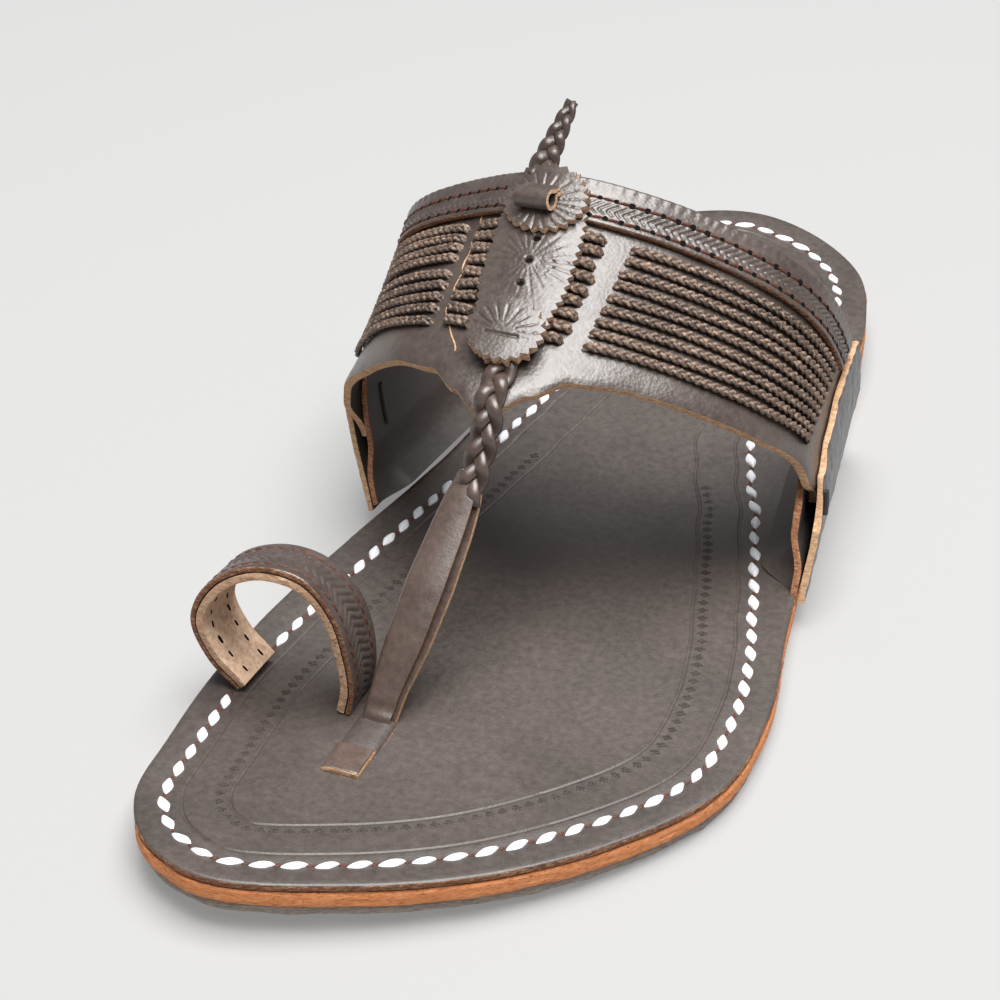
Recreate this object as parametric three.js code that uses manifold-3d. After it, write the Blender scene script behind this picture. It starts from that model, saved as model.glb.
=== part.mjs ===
// Left kolhapuri sandal: flat leather sole with a stacked heel, two pairs of ears (kanwali) that hold a
// broad arched instep band, a toe strap that runs from the band to the sole, and a ring for the big toe.
// Millimetres, +Z up, toe towards -Y, the wearer's outer side towards +X.
import * as THREE from 'three';
import { mergeVertices } from 'three/addons/utils/BufferGeometryUtils.js';
import Module from 'manifold-3d';

const wasm = await Module();
wasm.setup();

// ---- driving dimensions -----------------------------------------------------------------------------
const SOLE_LENGTH = 280;
const GAP = 0.3; // clearance between pieces that touch
const OUTSOLE = 2.2;
const HEEL_LIFT = 4.1;
const MIDSOLE = 3.4;
const INSOLE = 1.6;
const HEEL_LIFT_FULL_TO = 50; // the lift keeps its full height this far from the back of the heel
const HEEL_LIFT_END = 112;
const HEEL_LIFT_FADE = 130; // where the slope of the heel would reach nothing
const SPRING_START = 200;
const TOE_SPRING = 5.0;
const TREAD_INSET = 1.0; // the outsole is trimmed this much inside the midsole

const BAND_WALL = 2.2;
const EAR_WALL = 1.5;
const BORDER_WALL = 1.3;
const APPLIQUE_WALL = 1.3;
const RING_WALL = 3.0;
const RING_FRONT_ALONG = 223;
const RING_REAR_ALONG = 211;
const FOOT_AXIS = { across: -4, up: 28 }; // the middle of the space under the band
const TOE_AXIS = { across: -38, up: 22 }; // the middle of the space under the toe ring

const CORD_ROWS = 9;
const CORD_FIRST = 0.29; // first cord row, as a share of the way from the rear edge to the front edge
const CORD_LAST = 0.835;
const CORD_WIDTH = 2.5;
const CORD_HEIGHT = 1.8;

// Outline of the sole: "along" runs from the back of the heel, "inner" is the big toe's side.
const HEEL_TIP = { along: 0, across: -3 };
const TOE_TIP = { along: SOLE_LENGTH, across: -29 };
const OUTLINE = [
  { along: 6, inner: -20, outer: 14 },
  { along: 22, inner: -33, outer: 30 },
  { along: 45, inner: -37.5, outer: 37.5 },
  { along: 75, inner: -34.5, outer: 40 },
  { along: 105, inner: -36, outer: 43.5 },
  { along: 135, inner: -41, outer: 46.8 },
  { along: 165, inner: -47.5, outer: 50 },
  { along: 195, inner: -53, outer: 54 },
  { along: 220, inner: -55, outer: 51.5 },
  { along: 242, inner: -54, outer: 38 },
  { along: 260, inner: -52, outer: 19 },
  { along: 273, inner: -44, outer: -4 },
];

// The arch of the upper, from the inner foot over the crown to the outer foot. The rear and the front
// line have the same rows, and straight rulings join them.
const ARCH = [
  { row: 'inner foot', rear: [91, -35.9, 3], front: [159, -46.9, 3] },
  { row: 'inner ear', rear: [95, -49.5, 30], front: [148, -55.5, 31] },
  { row: 'inner shoulder', rear: [112, -51.5, 59], front: [158, -45, 49] },
  { row: 'inner flank', rear: [122, -31, 75], front: [169, -28, 60.5] },
  { row: 'crown', rear: [133, -8, 85], front: [174, -9, 64] },
  { row: 'outer flank', rear: [127, 18, 77.5], front: [170, 12, 60.5] },
  { row: 'outer shoulder', rear: [116, 40, 60.5], front: [158, 38, 47] },
  { row: 'outer ear', rear: [101, 45.5, 33], front: [146, 48.5, 31] },
  { row: 'outer foot', rear: [91, 42.3, 3], front: [156, 49.3, 3] },
];
const CROWN_ROW = 3.87; // the toe strap's line, counted in rows of ARCH

// How far the front edge stands before or behind the front line, by row of ARCH.
const FRONT_EDGE = [
  { row: 0.6, reach: 0.8 },
  { row: 1.0, reach: 1.0 },
  { row: 1.5, reach: 1.04 },
  { row: 2, reach: 1.06 },
  { row: 2.6, reach: 1.05 },
  { row: 3.2, reach: 1.08 },
  { row: 3.55, reach: 1.16 },
  { row: 3.87, reach: 1.24 },
  { row: 4.1, reach: 1.22 },
  { row: 4.35, reach: 1.13 },
  { row: 4.7, reach: 1.02 },
  { row: 5.2, reach: 0.985 },
  { row: 6.6, reach: 0.985 },
  { row: 7.0, reach: 1.0 },
  { row: 7.4, reach: 0.8 },
];

// Top edges of the ears, in rows above the foot, by share of the way to the front line. The last share
// is the ear's own front edge.
const EAR_TOPS = {
  inner: {
    outerLayer: [
      { share: -0.1, rows: 1.08 },
      { share: 0.3, rows: 1.0 },
      { share: 0.65, rows: 0.95 },
      { share: 0.92, rows: 0.92 },
    ],
    innerLayer: [
      { share: -0.1, rows: 1.1 },
      { share: 0.3, rows: 1.3 },
      { share: 0.65, rows: 1.45 },
      { share: 0.92, rows: 1.45 },
    ],
  },
  outer: {
    outerLayer: [
      { share: -0.1, rows: 1.15 },
      { share: 0.3, rows: 1.15 },
      { share: 0.65, rows: 1.06 },
      { share: 0.9, rows: 0.94 },
      { share: 1.0, rows: 0.6 },
    ],
    innerLayer: [
      { share: -0.1, rows: 1.1 },
      { share: 0.3, rows: 1.1 },
      { share: 0.65, rows: 1.0 },
      { share: 0.9, rows: 0.9 },
      { share: 1.0, rows: 0.7 },
    ],
  },
};
const EAR_REAR_SHARE = -0.1;
const BAND_FOOT_ROWS = 0.6; // the band ends this many rows above the foot, between the two ears
const INNER_EAR_RISE = 0.3; // the inner ear starts this many rows above the foot, over the insole

// Toe strap from under the applique down to its slit: centre line, half width and half thickness.
const TOE_STRAP = [
  { along: 171, across: -7.4, up: 65.2, half: 3.4, thick: 0.8 },
  { along: 177, across: -7.5, up: 62.7, half: 3.6, thick: 1.0 },
  { along: 183, across: -7.9, up: 59.8, half: 3.5, thick: 1.6 },
  { along: 187, across: -8.5, up: 53.0, half: 3.4, thick: 2.0 },
  { along: 190, across: -9.3, up: 46.8, half: 3.4, thick: 2.0 },
  { along: 196, across: -11.1, up: 38.5, half: 4.2, thick: 2.6 },
  { along: 205, across: -12.9, up: 30, half: 5.0, thick: 3.0 },
  { along: 213, across: -14.6, up: 21.5, half: 4.8, thick: 2.4 },
  { along: 219, across: -16.4, up: 14, half: 3.8, thick: 1.7 },
  { along: 222.5, across: -17.2, up: 9.6, half: 3.5, thick: 1.3 },
];

// Outer face of the toe ring, from the foot by the inner edge over the toe to the foot by the strap.
const TOE_RING = [
  { front: [-48, 8.6], rear: [-47, 8.6] },
  { front: [-54, 15], rear: [-52.5, 15] },
  { front: [-57, 24], rear: [-55.5, 24] },
  { front: [-52, 34], rear: [-51, 33] },
  { front: [-42, 40], rear: [-42, 37.5] },
  { front: [-32, 39], rear: [-33, 37] },
  { front: [-26, 32], rear: [-26, 31] },
  { front: [-23.2, 22], rear: [-22.8, 22] },
  { front: [-22.4, 14], rear: [-22.4, 14] },
  { front: [-23.4, 8.6], rear: [-23.4, 8.6] },
];

// Half width of the applique leaf along the crown, by share of the way to the front line.
const LEAF = [
  { share: 0.0, half: 5 },
  { share: 0.12, half: 8 },
  { share: 0.35, half: 9 },
  { share: 0.6, half: 8.8 },
  { share: 0.82, half: 7.2 },
  { share: 0.97, half: 5.8 },
  { share: 1.04, half: 2 },
];
const ROSETTE_TOP = { name: 'rosette_top', share: 0.18, radius: 8 };
const ROSETTE_BOTTOM = { name: 'rosette_bottom', share: 0.88, radius: 7 };
const CROWN_LENGTH = 47; // rear edge to front line along the crown

// Braided tip that stands up behind the crown: centre line and half thickness.
const TIP = [
  { along: 133, across: -14.4, up: 87.2, half: 2.4 },
  { along: 130.5, across: -14, up: 89.2, half: 2.8 },
  { along: 127.5, across: -13.4, up: 91.8, half: 2.4 },
  { along: 124, across: -12.7, up: 94.6, half: 1.9 },
  { along: 121, across: -12.2, up: 96.8, half: 1.0 },
];

const DARK_LEATHER = { color: 0x473d38, roughness: 0.55, metalness: 0 };
const TAN_LEATHER = { color: 0xc27c4e, roughness: 0.75, metalness: 0 };
const GREY_LEATHER = { color: 0x9c8f82, roughness: 0.85, metalness: 0 };
const CORD_LEATHER = { color: 0x5e4534, roughness: 0.6, metalness: 0 };
const NATURAL_LEATHER = { color: 0xd9ae84, roughness: 0.85, metalness: 0 };

// ---- helpers ----------------------------------------------------------------------------------------
const place = (along, across, up) => new THREE.Vector3(across, SOLE_LENGTH / 2 - along, up);
const smoothstep = (low, high, x) => THREE.MathUtils.smoothstep(x, low, high);
const sandal = new THREE.Group();

function addPiece(name, geometry, finish) {
  const mesh = new THREE.Mesh(geometry, new THREE.MeshStandardMaterial(finish));
  mesh.name = name;
  sandal.add(mesh);
}

// A smooth value between the rows of a table, for example column(LEAF, 'share', 'half')(0.2).
function column(rows, key, value) {
  return (x) => {
    const last = rows.length - 1;
    if (x <= rows[0][key]) return rows[0][value];
    if (x >= rows[last][key]) return rows[last][value];
    const i = rows.findIndex((row) => row[key] > x) - 1;
    const t = (x - rows[i][key]) / (rows[i + 1][key] - rows[i][key]);
    return THREE.MathUtils.lerp(rows[i][value], rows[i + 1][value], t * t * (3 - 2 * t));
  };
}

// A closed solid from rings of points with the same count, capped at both ends.
function solidFromRings(rings) {
  const count = rings[0].length;
  const positions = rings.flat().flatMap((p) => [p.x, p.y, p.z]);
  const index = [];
  for (let r = 0; r + 1 < rings.length; r += 1) {
    for (let i = 0; i < count; i += 1) {
      const j = (i + 1) % count;
      const a = r * count + i;
      const b = r * count + j;
      index.push(a, b, a + count, b, b + count, a + count);
    }
  }
  const lastRing = (rings.length - 1) * count;
  for (let i = 1; i + 1 < count; i += 1) {
    index.push(0, i + 1, i);
    index.push(lastRing, lastRing + i, lastRing + i + 1);
  }
  return facedOutwards(positions, index);
}

function facedOutwards(positions, index) {
  const at = (i) => new THREE.Vector3().fromArray(positions, 3 * i);
  let volume = 0;
  for (let i = 0; i < index.length; i += 3) {
    volume += at(index[i]).dot(at(index[i + 1]).cross(at(index[i + 2])));
  }
  if (volume < 0) index.reverse();
  const geometry = new THREE.BufferGeometry();
  geometry.setAttribute('position', new THREE.Float32BufferAttribute(positions, 3));
  geometry.setIndex(index);
  return geometry;
}

// The same normal or its opposite, whichever points away from a line that runs along the shoe.
function awayFrom(axis, point, normal) {
  const fromAxis = new THREE.Vector3(point.x - axis.across, 0, point.z - axis.up);
  return normal.dot(fromAxis) < 0 ? normal.negate() : normal;
}

// A wall between two offsets of a surface; surface(a, b) takes both from 0 to 1, and the offsets are
// measured away from the axis.
function wall(surface, offsets, columns, rows, axis) {
  const step = 0.004;
  const normal = (a, b) => {
    const da = surface(a + step, b).sub(surface(a - step, b));
    const db = surface(a, b + step).sub(surface(a, b - step));
    return awayFrom(axis, surface(a, b), da.cross(db).normalize());
  };
  const layer = (side) => {
    const points = [];
    for (let c = 0; c <= columns; c += 1) {
      for (let r = 0; r <= rows; r += 1) {
        const a = c / columns;
        const b = r / rows;
        points.push(surface(a, b).addScaledVector(normal(a, b), offsets(a, b)[side]));
      }
    }
    return points;
  };
  const points = [...layer(0), ...layer(1)];
  const high = (columns + 1) * (rows + 1);
  const id = (c, r) => c * (rows + 1) + r;
  const index = [];
  const quad = (a, b, c, d) => index.push(a, b, c, a, c, d);
  for (let c = 0; c < columns; c += 1) {
    for (let r = 0; r < rows; r += 1) {
      quad(id(c, r), id(c, r + 1), id(c + 1, r + 1), id(c + 1, r));
      quad(high + id(c, r), high + id(c + 1, r), high + id(c + 1, r + 1), high + id(c, r + 1));
    }
    quad(id(c, 0), id(c + 1, 0), high + id(c + 1, 0), high + id(c, 0));
    quad(id(c, rows), high + id(c, rows), high + id(c + 1, rows), id(c + 1, rows));
  }
  for (let r = 0; r < rows; r += 1) {
    quad(id(0, r), high + id(0, r), high + id(0, r + 1), id(0, r + 1));
    quad(id(columns, r), id(columns, r + 1), high + id(columns, r + 1), high + id(columns, r));
  }
  return facedOutwards(points.flatMap((p) => [p.x, p.y, p.z]), index);
}

// A strap or cord of oval section along a list of stations { at, side, half, thick }.
function ovalSweep(stations, sides) {
  const rings = stations.map((station, i) => {
    const before = stations[Math.max(0, i - 1)].at;
    const after = stations[Math.min(stations.length - 1, i + 1)].at;
    const forward = after.clone().sub(before).normalize();
    const normal = forward.clone().cross(station.side).normalize();
    const side = normal.clone().cross(forward).normalize();
    return Array.from({ length: sides }, (_, k) => {
      const angle = (2 * Math.PI * (k + 0.5)) / sides;
      const point = station.at.clone().addScaledVector(side, Math.cos(angle) * station.half);
      return point.addScaledVector(normal, Math.sin(angle) * station.thick);
    });
  });
  return solidFromRings(rings);
}

function toManifold(geometry) {
  const bare = geometry.clone();
  bare.deleteAttribute('normal');
  bare.deleteAttribute('uv');
  const merged = mergeVertices(bare);
  const vertProperties = new Float32Array(merged.attributes.position.array);
  const triVerts = new Uint32Array(merged.index.array);
  return new wasm.Manifold(new wasm.Mesh({ numProp: 3, vertProperties, triVerts }));
}

function fromManifold(solid) {
  const mesh = solid.getMesh();
  const geometry = new THREE.BufferGeometry();
  geometry.setAttribute('position', new THREE.BufferAttribute(mesh.vertProperties, 3));
  geometry.setIndex(new THREE.BufferAttribute(mesh.triVerts, 1));
  return geometry;
}

// ---- sole -------------------------------------------------------------------------------------------
const outlineCurve = new THREE.CatmullRomCurve3(
  [
    HEEL_TIP,
    ...OUTLINE.map((row) => ({ along: row.along, across: row.outer })),
    TOE_TIP,
    ...OUTLINE.map((row) => ({ along: row.along, across: row.inner })).reverse(),
  ].map((p) => new THREE.Vector3(p.across, p.along, 0)),
  true,
  'centripetal',
);
const OUTLINE_SAMPLES = 600;
const outlinePoints = outlineCurve.getPoints(OUTLINE_SAMPLES);
const heelEnd = outlinePoints.reduce((low, p) => (p.y < low.y ? p : low));
const toeEnd = outlinePoints.reduce((high, p) => (p.y > high.y ? p : high));

// The sole's edge on one side ('inner' or 'outer') at a distance from the back of the heel.
function edgeAt(side, along) {
  const crossings = [];
  for (let i = 0; i < OUTLINE_SAMPLES; i += 1) {
    const p = outlinePoints[i];
    const q = outlinePoints[i + 1];
    if ((p.y - along) * (q.y - along) <= 0 && p.y !== q.y) {
      crossings.push(THREE.MathUtils.mapLinear(along, p.y, q.y, p.x, q.x));
    }
  }
  return side === 'inner' ? Math.min(...crossings) : Math.max(...crossings);
}

const springShare = (along) => Math.max(0, (along - SPRING_START) / (SOLE_LENGTH - SPRING_START));
const springAt = (along) => TOE_SPRING * springShare(along) ** 2;
const liftAt = (along) => HEEL_LIFT * (1 - smoothstep(HEEL_LIFT_FULL_TO, HEEL_LIFT_FADE, along));
const outsoleTop = (along) => springAt(along) + OUTSOLE;
const liftTop = (along) => outsoleTop(along) + GAP + liftAt(along);
const liftGap = (along) => GAP * (1 - smoothstep(HEEL_LIFT_END, HEEL_LIFT_FADE, along));
const midsoleBottom = (along) => liftTop(along) + liftGap(along);
const midsoleTop = (along) => midsoleBottom(along) + MIDSOLE;
const insoleTop = (along) => midsoleTop(along) + GAP + INSOLE;

// A layer of the sole between two heights, cut across at "from" and "to".
const END_FLAT = 0.6; // the ends of the outline are cut across this far in, so that no ring is a point
const MOST_TRIM = 0.3; // the inset takes at most this share of the width near the two ends
function soleLayer(bottomAt, topAt, inset, from, to, stations) {
  const low = Math.max(from, heelEnd.y + END_FLAT);
  const high = Math.min(to, toeEnd.y - END_FLAT);
  const rings = [];
  for (let i = 0; i <= stations; i += 1) {
    const along = THREE.MathUtils.lerp(low, high, (1 - Math.cos((Math.PI * i) / stations)) / 2);
    const width = edgeAt('outer', along) - edgeAt('inner', along);
    const trim = Math.min(inset, MOST_TRIM * width);
    const inner = edgeAt('inner', along) + trim;
    const outer = edgeAt('outer', along) - trim;
    rings.push([
      place(along, inner, bottomAt(along)),
      place(along, outer, bottomAt(along)),
      place(along, outer, topAt(along)),
      place(along, inner, topAt(along)),
    ]);
  }
  return solidFromRings(rings);
}

const SOLE_STATIONS = 46;
const HEEL_STATIONS = 22;
const WHOLE = [0, SOLE_LENGTH, SOLE_STATIONS];
const insoleBottom = (along) => midsoleTop(along) + GAP;
const liftBottom = (along) => outsoleTop(along) + GAP;
addPiece('outsole', soleLayer(springAt, outsoleTop, TREAD_INSET, ...WHOLE), GREY_LEATHER);
addPiece('midsole', soleLayer(midsoleBottom, midsoleTop, 0, ...WHOLE), TAN_LEATHER);
addPiece('insole', soleLayer(insoleBottom, insoleTop, 0, ...WHOLE), DARK_LEATHER);
addPiece('heel_lift', soleLayer(liftBottom, liftTop, 0, 0, HEEL_LIFT_END, HEEL_STATIONS), TAN_LEATHER);

// ---- upper ------------------------------------------------------------------------------------------
// A curve's point, or past its ends a point straight on, which the walls need for their edge normals.
const STRAIGHT_ON = 200; // millimetres for a whole turn of the curve's own count from 0 to 1
const onCurve = (curve, t) => {
  const inside = THREE.MathUtils.clamp(t, 0, 1);
  return curve.getPoint(inside).addScaledVector(curve.getTangent(inside), (t - inside) * STRAIGHT_ON);
};

const lineThrough = (key) => {
  const points = ARCH.map((row) => place(...row[key]));
  const curve = new THREE.CatmullRomCurve3(points, false, 'centripetal');
  return (row) => onCurve(curve, row / (ARCH.length - 1));
};
const rearLine = lineThrough('rear');
const frontLine = lineThrough('front');

// The outer face of the instep band, by share of the way forward and by row of ARCH.
const archAt = (share, row) => rearLine(row).lerp(frontLine(row), share);

const frontReach = column(FRONT_EDGE, 'row', 'reach');
const lastRow = ARCH.length - 1;
const bandRow = (a) => THREE.MathUtils.lerp(BAND_FOOT_ROWS, lastRow - BAND_FOOT_ROWS, a);
const BAND_GRID = { columns: 44, rows: 5 };
const bandGeometry = wall(
  (a, b) => archAt(b * frontReach(bandRow(a)), bandRow(a)),
  () => [-BAND_WALL, 0],
  BAND_GRID.columns,
  BAND_GRID.rows,
  FOOT_AXIS,
);

function stationsThrough(table, count) {
  const curve = new THREE.CatmullRomCurve3(table.map((row) => place(row.along, row.across, row.up)));
  const rowValue = (key, t) => {
    const x = t * (table.length - 1);
    const i = Math.min(table.length - 2, Math.floor(x));
    return THREE.MathUtils.lerp(table[i][key], table[i + 1][key], x - i);
  };
  return Array.from({ length: count + 1 }, (_, k) => {
    const t = k / count;
    const half = rowValue('half', t);
    const thick = table[0].thick === undefined ? half : rowValue('thick', t);
    return { at: curve.getPoint(t), side: new THREE.Vector3(1, 0, 0), half, thick };
  });
}
const toeStrap = ovalSweep(stationsThrough(TOE_STRAP, 20), 10);
addPiece('upper', fromManifold(toManifold(bandGeometry).add(toManifold(toeStrap))), DARK_LEATHER);

// The ears: an outer one that rises from the sole's edge, and an inner one over the insole's rim. The
// outer one moves off the band by CLEAR_ROWS, and the inner one opens from it to let the band in.
const CLEAR_ROWS = { from: 0.15, to: BAND_FOOT_ROWS - 0.1 };
const OPEN_ROWS = { from: INNER_EAR_RISE, to: BAND_FOOT_ROWS - 0.02 };
for (const side of ['inner', 'outer']) {
  const { outerLayer, innerLayer } = EAR_TOPS[side];
  const outerTop = column(outerLayer, 'share', 'rows');
  const innerTop = column(innerLayer, 'share', 'rows');
  const share = (a) => THREE.MathUtils.lerp(EAR_REAR_SHARE, outerLayer[outerLayer.length - 1].share, a);
  const row = (rows) => (side === 'inner' ? rows : lastRow - rows);
  addPiece(
    `ear_${side}_side_outer_layer`,
    wall(
      (a, b) => archAt(share(a), row(b * outerTop(share(a)))),
      (a, b) => {
        const clear = GAP * smoothstep(CLEAR_ROWS.from, CLEAR_ROWS.to, b * outerTop(share(a)));
        return [clear, clear + EAR_WALL];
      },
      12,
      8,
      FOOT_AXIS,
    ),
    DARK_LEATHER,
  );
  const innerRows = (a, b) => THREE.MathUtils.lerp(INNER_EAR_RISE, innerTop(share(a)), b);
  addPiece(
    `ear_${side}_side_inner_layer`,
    wall(
      (a, b) => archAt(share(a), row(innerRows(a, b))),
      (a, b) => {
        const open = GAP + BAND_WALL * smoothstep(OPEN_ROWS.from, OPEN_ROWS.to, innerRows(a, b));
        return [-open - EAR_WALL, -open];
      },
      12,
      10,
      FOOT_AXIS,
    ),
    DARK_LEATHER,
  );
}

// ---- what is sewn and laced onto the band -----------------------------------------------------------
const BORDER_SHARE = 0.22;
const BORDER_END_ROWS = { inner: 1.16, outer: 1.25 };
const LIFT_ONE = GAP;
addPiece(
  'rear_border',
  wall(
    (a, b) => {
      const row = THREE.MathUtils.lerp(BORDER_END_ROWS.inner, lastRow - BORDER_END_ROWS.outer, a);
      return archAt(b * BORDER_SHARE, row);
    },
    () => [LIFT_ONE, LIFT_ONE + BORDER_WALL],
    40,
    2,
    FOOT_AXIS,
  ),
  DARK_LEATHER,
);

const LEAF_LIFT = LIFT_ONE + BORDER_WALL + GAP;
const leafHalf = column(LEAF, 'share', 'half');
const rowWidth = (share) => archAt(share, CROWN_ROW - 0.5).distanceTo(archAt(share, CROWN_ROW + 0.5));
const crownPatch = (share, across) => archAt(share, CROWN_ROW + across / rowWidth(share));
const leafShare = (a) => THREE.MathUtils.lerp(LEAF[0].share, LEAF[LEAF.length - 1].share, a);
addPiece(
  'applique_leaf',
  wall(
    (a, b) => crownPatch(leafShare(a), (1 - 2 * b) * leafHalf(leafShare(a))),
    () => [LEAF_LIFT, LEAF_LIFT + APPLIQUE_WALL],
    14,
    4,
    FOOT_AXIS,
  ),
  DARK_LEATHER,
);

const ROSETTE_LIFT = LEAF_LIFT + APPLIQUE_WALL + GAP;
const ROSETTE_CUT = 0.05; // share of the half turn that is cut off flat at each end
for (const rosette of [ROSETTE_TOP, ROSETTE_BOTTOM]) {
  addPiece(
    `applique_${rosette.name}`,
    wall(
      (a, b) => {
        const angle = Math.PI * THREE.MathUtils.lerp(ROSETTE_CUT, 1 - ROSETTE_CUT, a);
        const share = rosette.share - (Math.cos(angle) * rosette.radius) / CROWN_LENGTH;
        return crownPatch(share, (1 - 2 * b) * Math.sin(angle) * rosette.radius);
      },
      () => [ROSETTE_LIFT, ROSETTE_LIFT + APPLIQUE_WALL],
      12,
      4,
      FOOT_AXIS,
    ),
    DARK_LEATHER,
  );
}

const ROLL_RADIUS = 1.9;
const ROLL_LENGTH = 8;
const roll = new THREE.CylinderGeometry(ROLL_RADIUS, ROLL_RADIUS, ROLL_LENGTH, 12);
const crownNormal = crownPatch(ROSETTE_TOP.share, 1)
  .sub(crownPatch(ROSETTE_TOP.share, -1))
  .cross(crownPatch(0, 0).sub(crownPatch(1, 0)))
  .normalize();
const ROLL_STEP = 0.02; // share that the roll lies before the rosette's middle
const rollLift = ROSETTE_LIFT + APPLIQUE_WALL + 2 * GAP + ROLL_RADIUS;
const rollCentre = crownPatch(ROSETTE_TOP.share + ROLL_STEP, 0).addScaledVector(crownNormal, rollLift);
roll.rotateZ(Math.PI / 2);
roll.translate(rollCentre.x, rollCentre.y, rollCentre.z);
addPiece('rolled_loop', roll, DARK_LEATHER);

addPiece('braided_tip', ovalSweep(stationsThrough(TIP, 10), 8), DARK_LEATHER);

// Nine plaited cords on each side of the leaf, laid side by side from the border to the front edge.
const CORD_GROUPS = [
  { name: 'cord_inner', start: 1.4, end: 3.1 },
  { name: 'cord_outer', start: 4.65, end: 6.7 },
];
const CORD_STEPS = 12;
for (const group of CORD_GROUPS) {
  for (let n = 0; n < CORD_ROWS; n += 1) {
    const share = THREE.MathUtils.lerp(CORD_FIRST, CORD_LAST, n / (CORD_ROWS - 1));
    const stations = Array.from({ length: CORD_STEPS + 1 }, (_, k) => {
      const row = THREE.MathUtils.lerp(group.start, group.end, k / CORD_STEPS);
      const side = archAt(1, row).sub(archAt(0, row)).normalize();
      const forward = archAt(share, row + 0.02).sub(archAt(share, row - 0.02)).normalize();
      const onBand = archAt(share, row);
      const normal = awayFrom(FOOT_AXIS, onBand, side.clone().cross(forward).normalize());
      const at = onBand.clone().addScaledVector(normal, LIFT_ONE + CORD_HEIGHT / 2);
      return { at, side, half: CORD_WIDTH / 2, thick: CORD_HEIGHT / 2 };
    });
    addPiece(`${group.name}_${n + 1}`, ovalSweep(stations, 6), CORD_LEATHER);
  }
}

// ---- toe ring and the strap's end -------------------------------------------------------------------
const ringLine = (key, along) => {
  const points = TOE_RING.map((row) => place(along, ...row[key]));
  return new THREE.CatmullRomCurve3(points, false, 'centripetal');
};
const ringFront = ringLine('front', RING_FRONT_ALONG);
const ringRear = ringLine('rear', RING_REAR_ALONG);
addPiece(
  'toe_ring',
  wall(
    (a, b) => onCurve(ringRear, a).lerp(onCurve(ringFront, a), b),
    () => [-RING_WALL, 0],
    30,
    1,
    TOE_AXIS,
  ),
  DARK_LEATHER,
);

const TAB = { from: 232, to: 240.5, inner: -21.5, outer: -14, thick: 1.5 };
const tabRings = [TAB.from, TAB.to].map((along) => {
  const low = insoleTop(along) + GAP;
  return [
    place(along, TAB.inner, low),
    place(along, TAB.outer, low),
    place(along, TAB.outer, low + TAB.thick),
    place(along, TAB.inner, low + TAB.thick),
  ];
});
addPiece('toe_strap_end', solidFromRings(tabRings), NATURAL_LEATHER);

// The origin is under the middle of the whole sandal, on the floor.
const box = new THREE.Box3().setFromObject(sandal);
sandal.position.set(-(box.min.x + box.max.x) / 2, -(box.min.y + box.max.y) / 2, -box.min.z);
sandal.updateMatrixWorld(true);

export default sandal;
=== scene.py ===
import math

import bmesh
import bpy
import numpy as np
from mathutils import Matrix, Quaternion, Vector


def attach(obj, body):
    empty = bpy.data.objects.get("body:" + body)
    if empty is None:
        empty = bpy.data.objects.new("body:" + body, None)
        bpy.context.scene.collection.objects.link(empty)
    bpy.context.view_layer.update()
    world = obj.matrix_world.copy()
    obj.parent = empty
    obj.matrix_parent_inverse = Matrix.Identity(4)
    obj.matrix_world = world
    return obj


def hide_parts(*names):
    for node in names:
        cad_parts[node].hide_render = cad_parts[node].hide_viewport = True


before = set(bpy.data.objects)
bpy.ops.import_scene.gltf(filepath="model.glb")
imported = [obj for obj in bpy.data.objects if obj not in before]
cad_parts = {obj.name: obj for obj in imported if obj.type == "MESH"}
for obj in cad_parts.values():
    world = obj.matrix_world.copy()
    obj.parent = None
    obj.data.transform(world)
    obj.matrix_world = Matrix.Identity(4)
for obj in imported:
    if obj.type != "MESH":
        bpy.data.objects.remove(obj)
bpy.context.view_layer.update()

# ---- Camera, floor and light ------------------------------------------------------------------------
# One sandal stands on a pale studio floor. A long lens looks down on it from the toe's side. The light
# is a broad soft box straight overhead, with a weaker one high in front of the toe.
CAMERA_AT = Vector((0.1496, -0.4684, 0.3412))
CAMERA_AIM = Vector((-0.0074, -0.0362, 0.0330))
CAMERA_ROLL = math.radians(-0.38)
CAMERA_LENS = 98.0

scene = bpy.context.scene
scene.view_settings.view_transform = "Standard"

camera = bpy.data.objects.new("camera", bpy.data.cameras.new("camera"))
camera.data.lens = CAMERA_LENS
camera.location = CAMERA_AT
camera.rotation_mode = "QUATERNION"
facing = (CAMERA_AIM - CAMERA_AT).to_track_quat("-Z", "Y")
camera.rotation_quaternion = facing @ Quaternion((0, 0, 1), CAMERA_ROLL)
camera.data.clip_start = 0.01
scene.collection.objects.link(camera)
scene.camera = camera

FLOOR_SIZE = 6.0
FLOOR_COLOUR = (0.285, 0.285, 0.285, 1)
FLOOR_GLOW = 0.22  # the studio floor is lit from below as well, so that shadows on it stay faint
floor_mesh = bpy.data.meshes.new("floor")
half_floor = FLOOR_SIZE / 2
floor_corners = [(x, y, 0) for x, y in ((-1, -1), (1, -1), (1, 1), (-1, 1))]
floor_mesh.from_pydata([(x * half_floor, y * half_floor, z) for x, y, z in floor_corners], [], [(0, 1, 2, 3)])
floor = bpy.data.objects.new("floor", floor_mesh)
scene.collection.objects.link(floor)
floor_paint = bpy.data.materials.new("floor_paint")
floor_paint.use_nodes = True
floor_shader = floor_paint.node_tree.nodes["Principled BSDF"]
floor_shader.inputs["Base Color"].default_value = FLOOR_COLOUR
floor_shader.inputs["Roughness"].default_value = 0.9
floor_shader.inputs["Specular IOR Level"].default_value = 0.1
floor_shader.inputs["Emission Color"].default_value = (1, 1, 1, 1)
floor_shader.inputs["Emission Strength"].default_value = FLOOR_GLOW
floor_mesh.materials.append(floor_paint)

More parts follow.
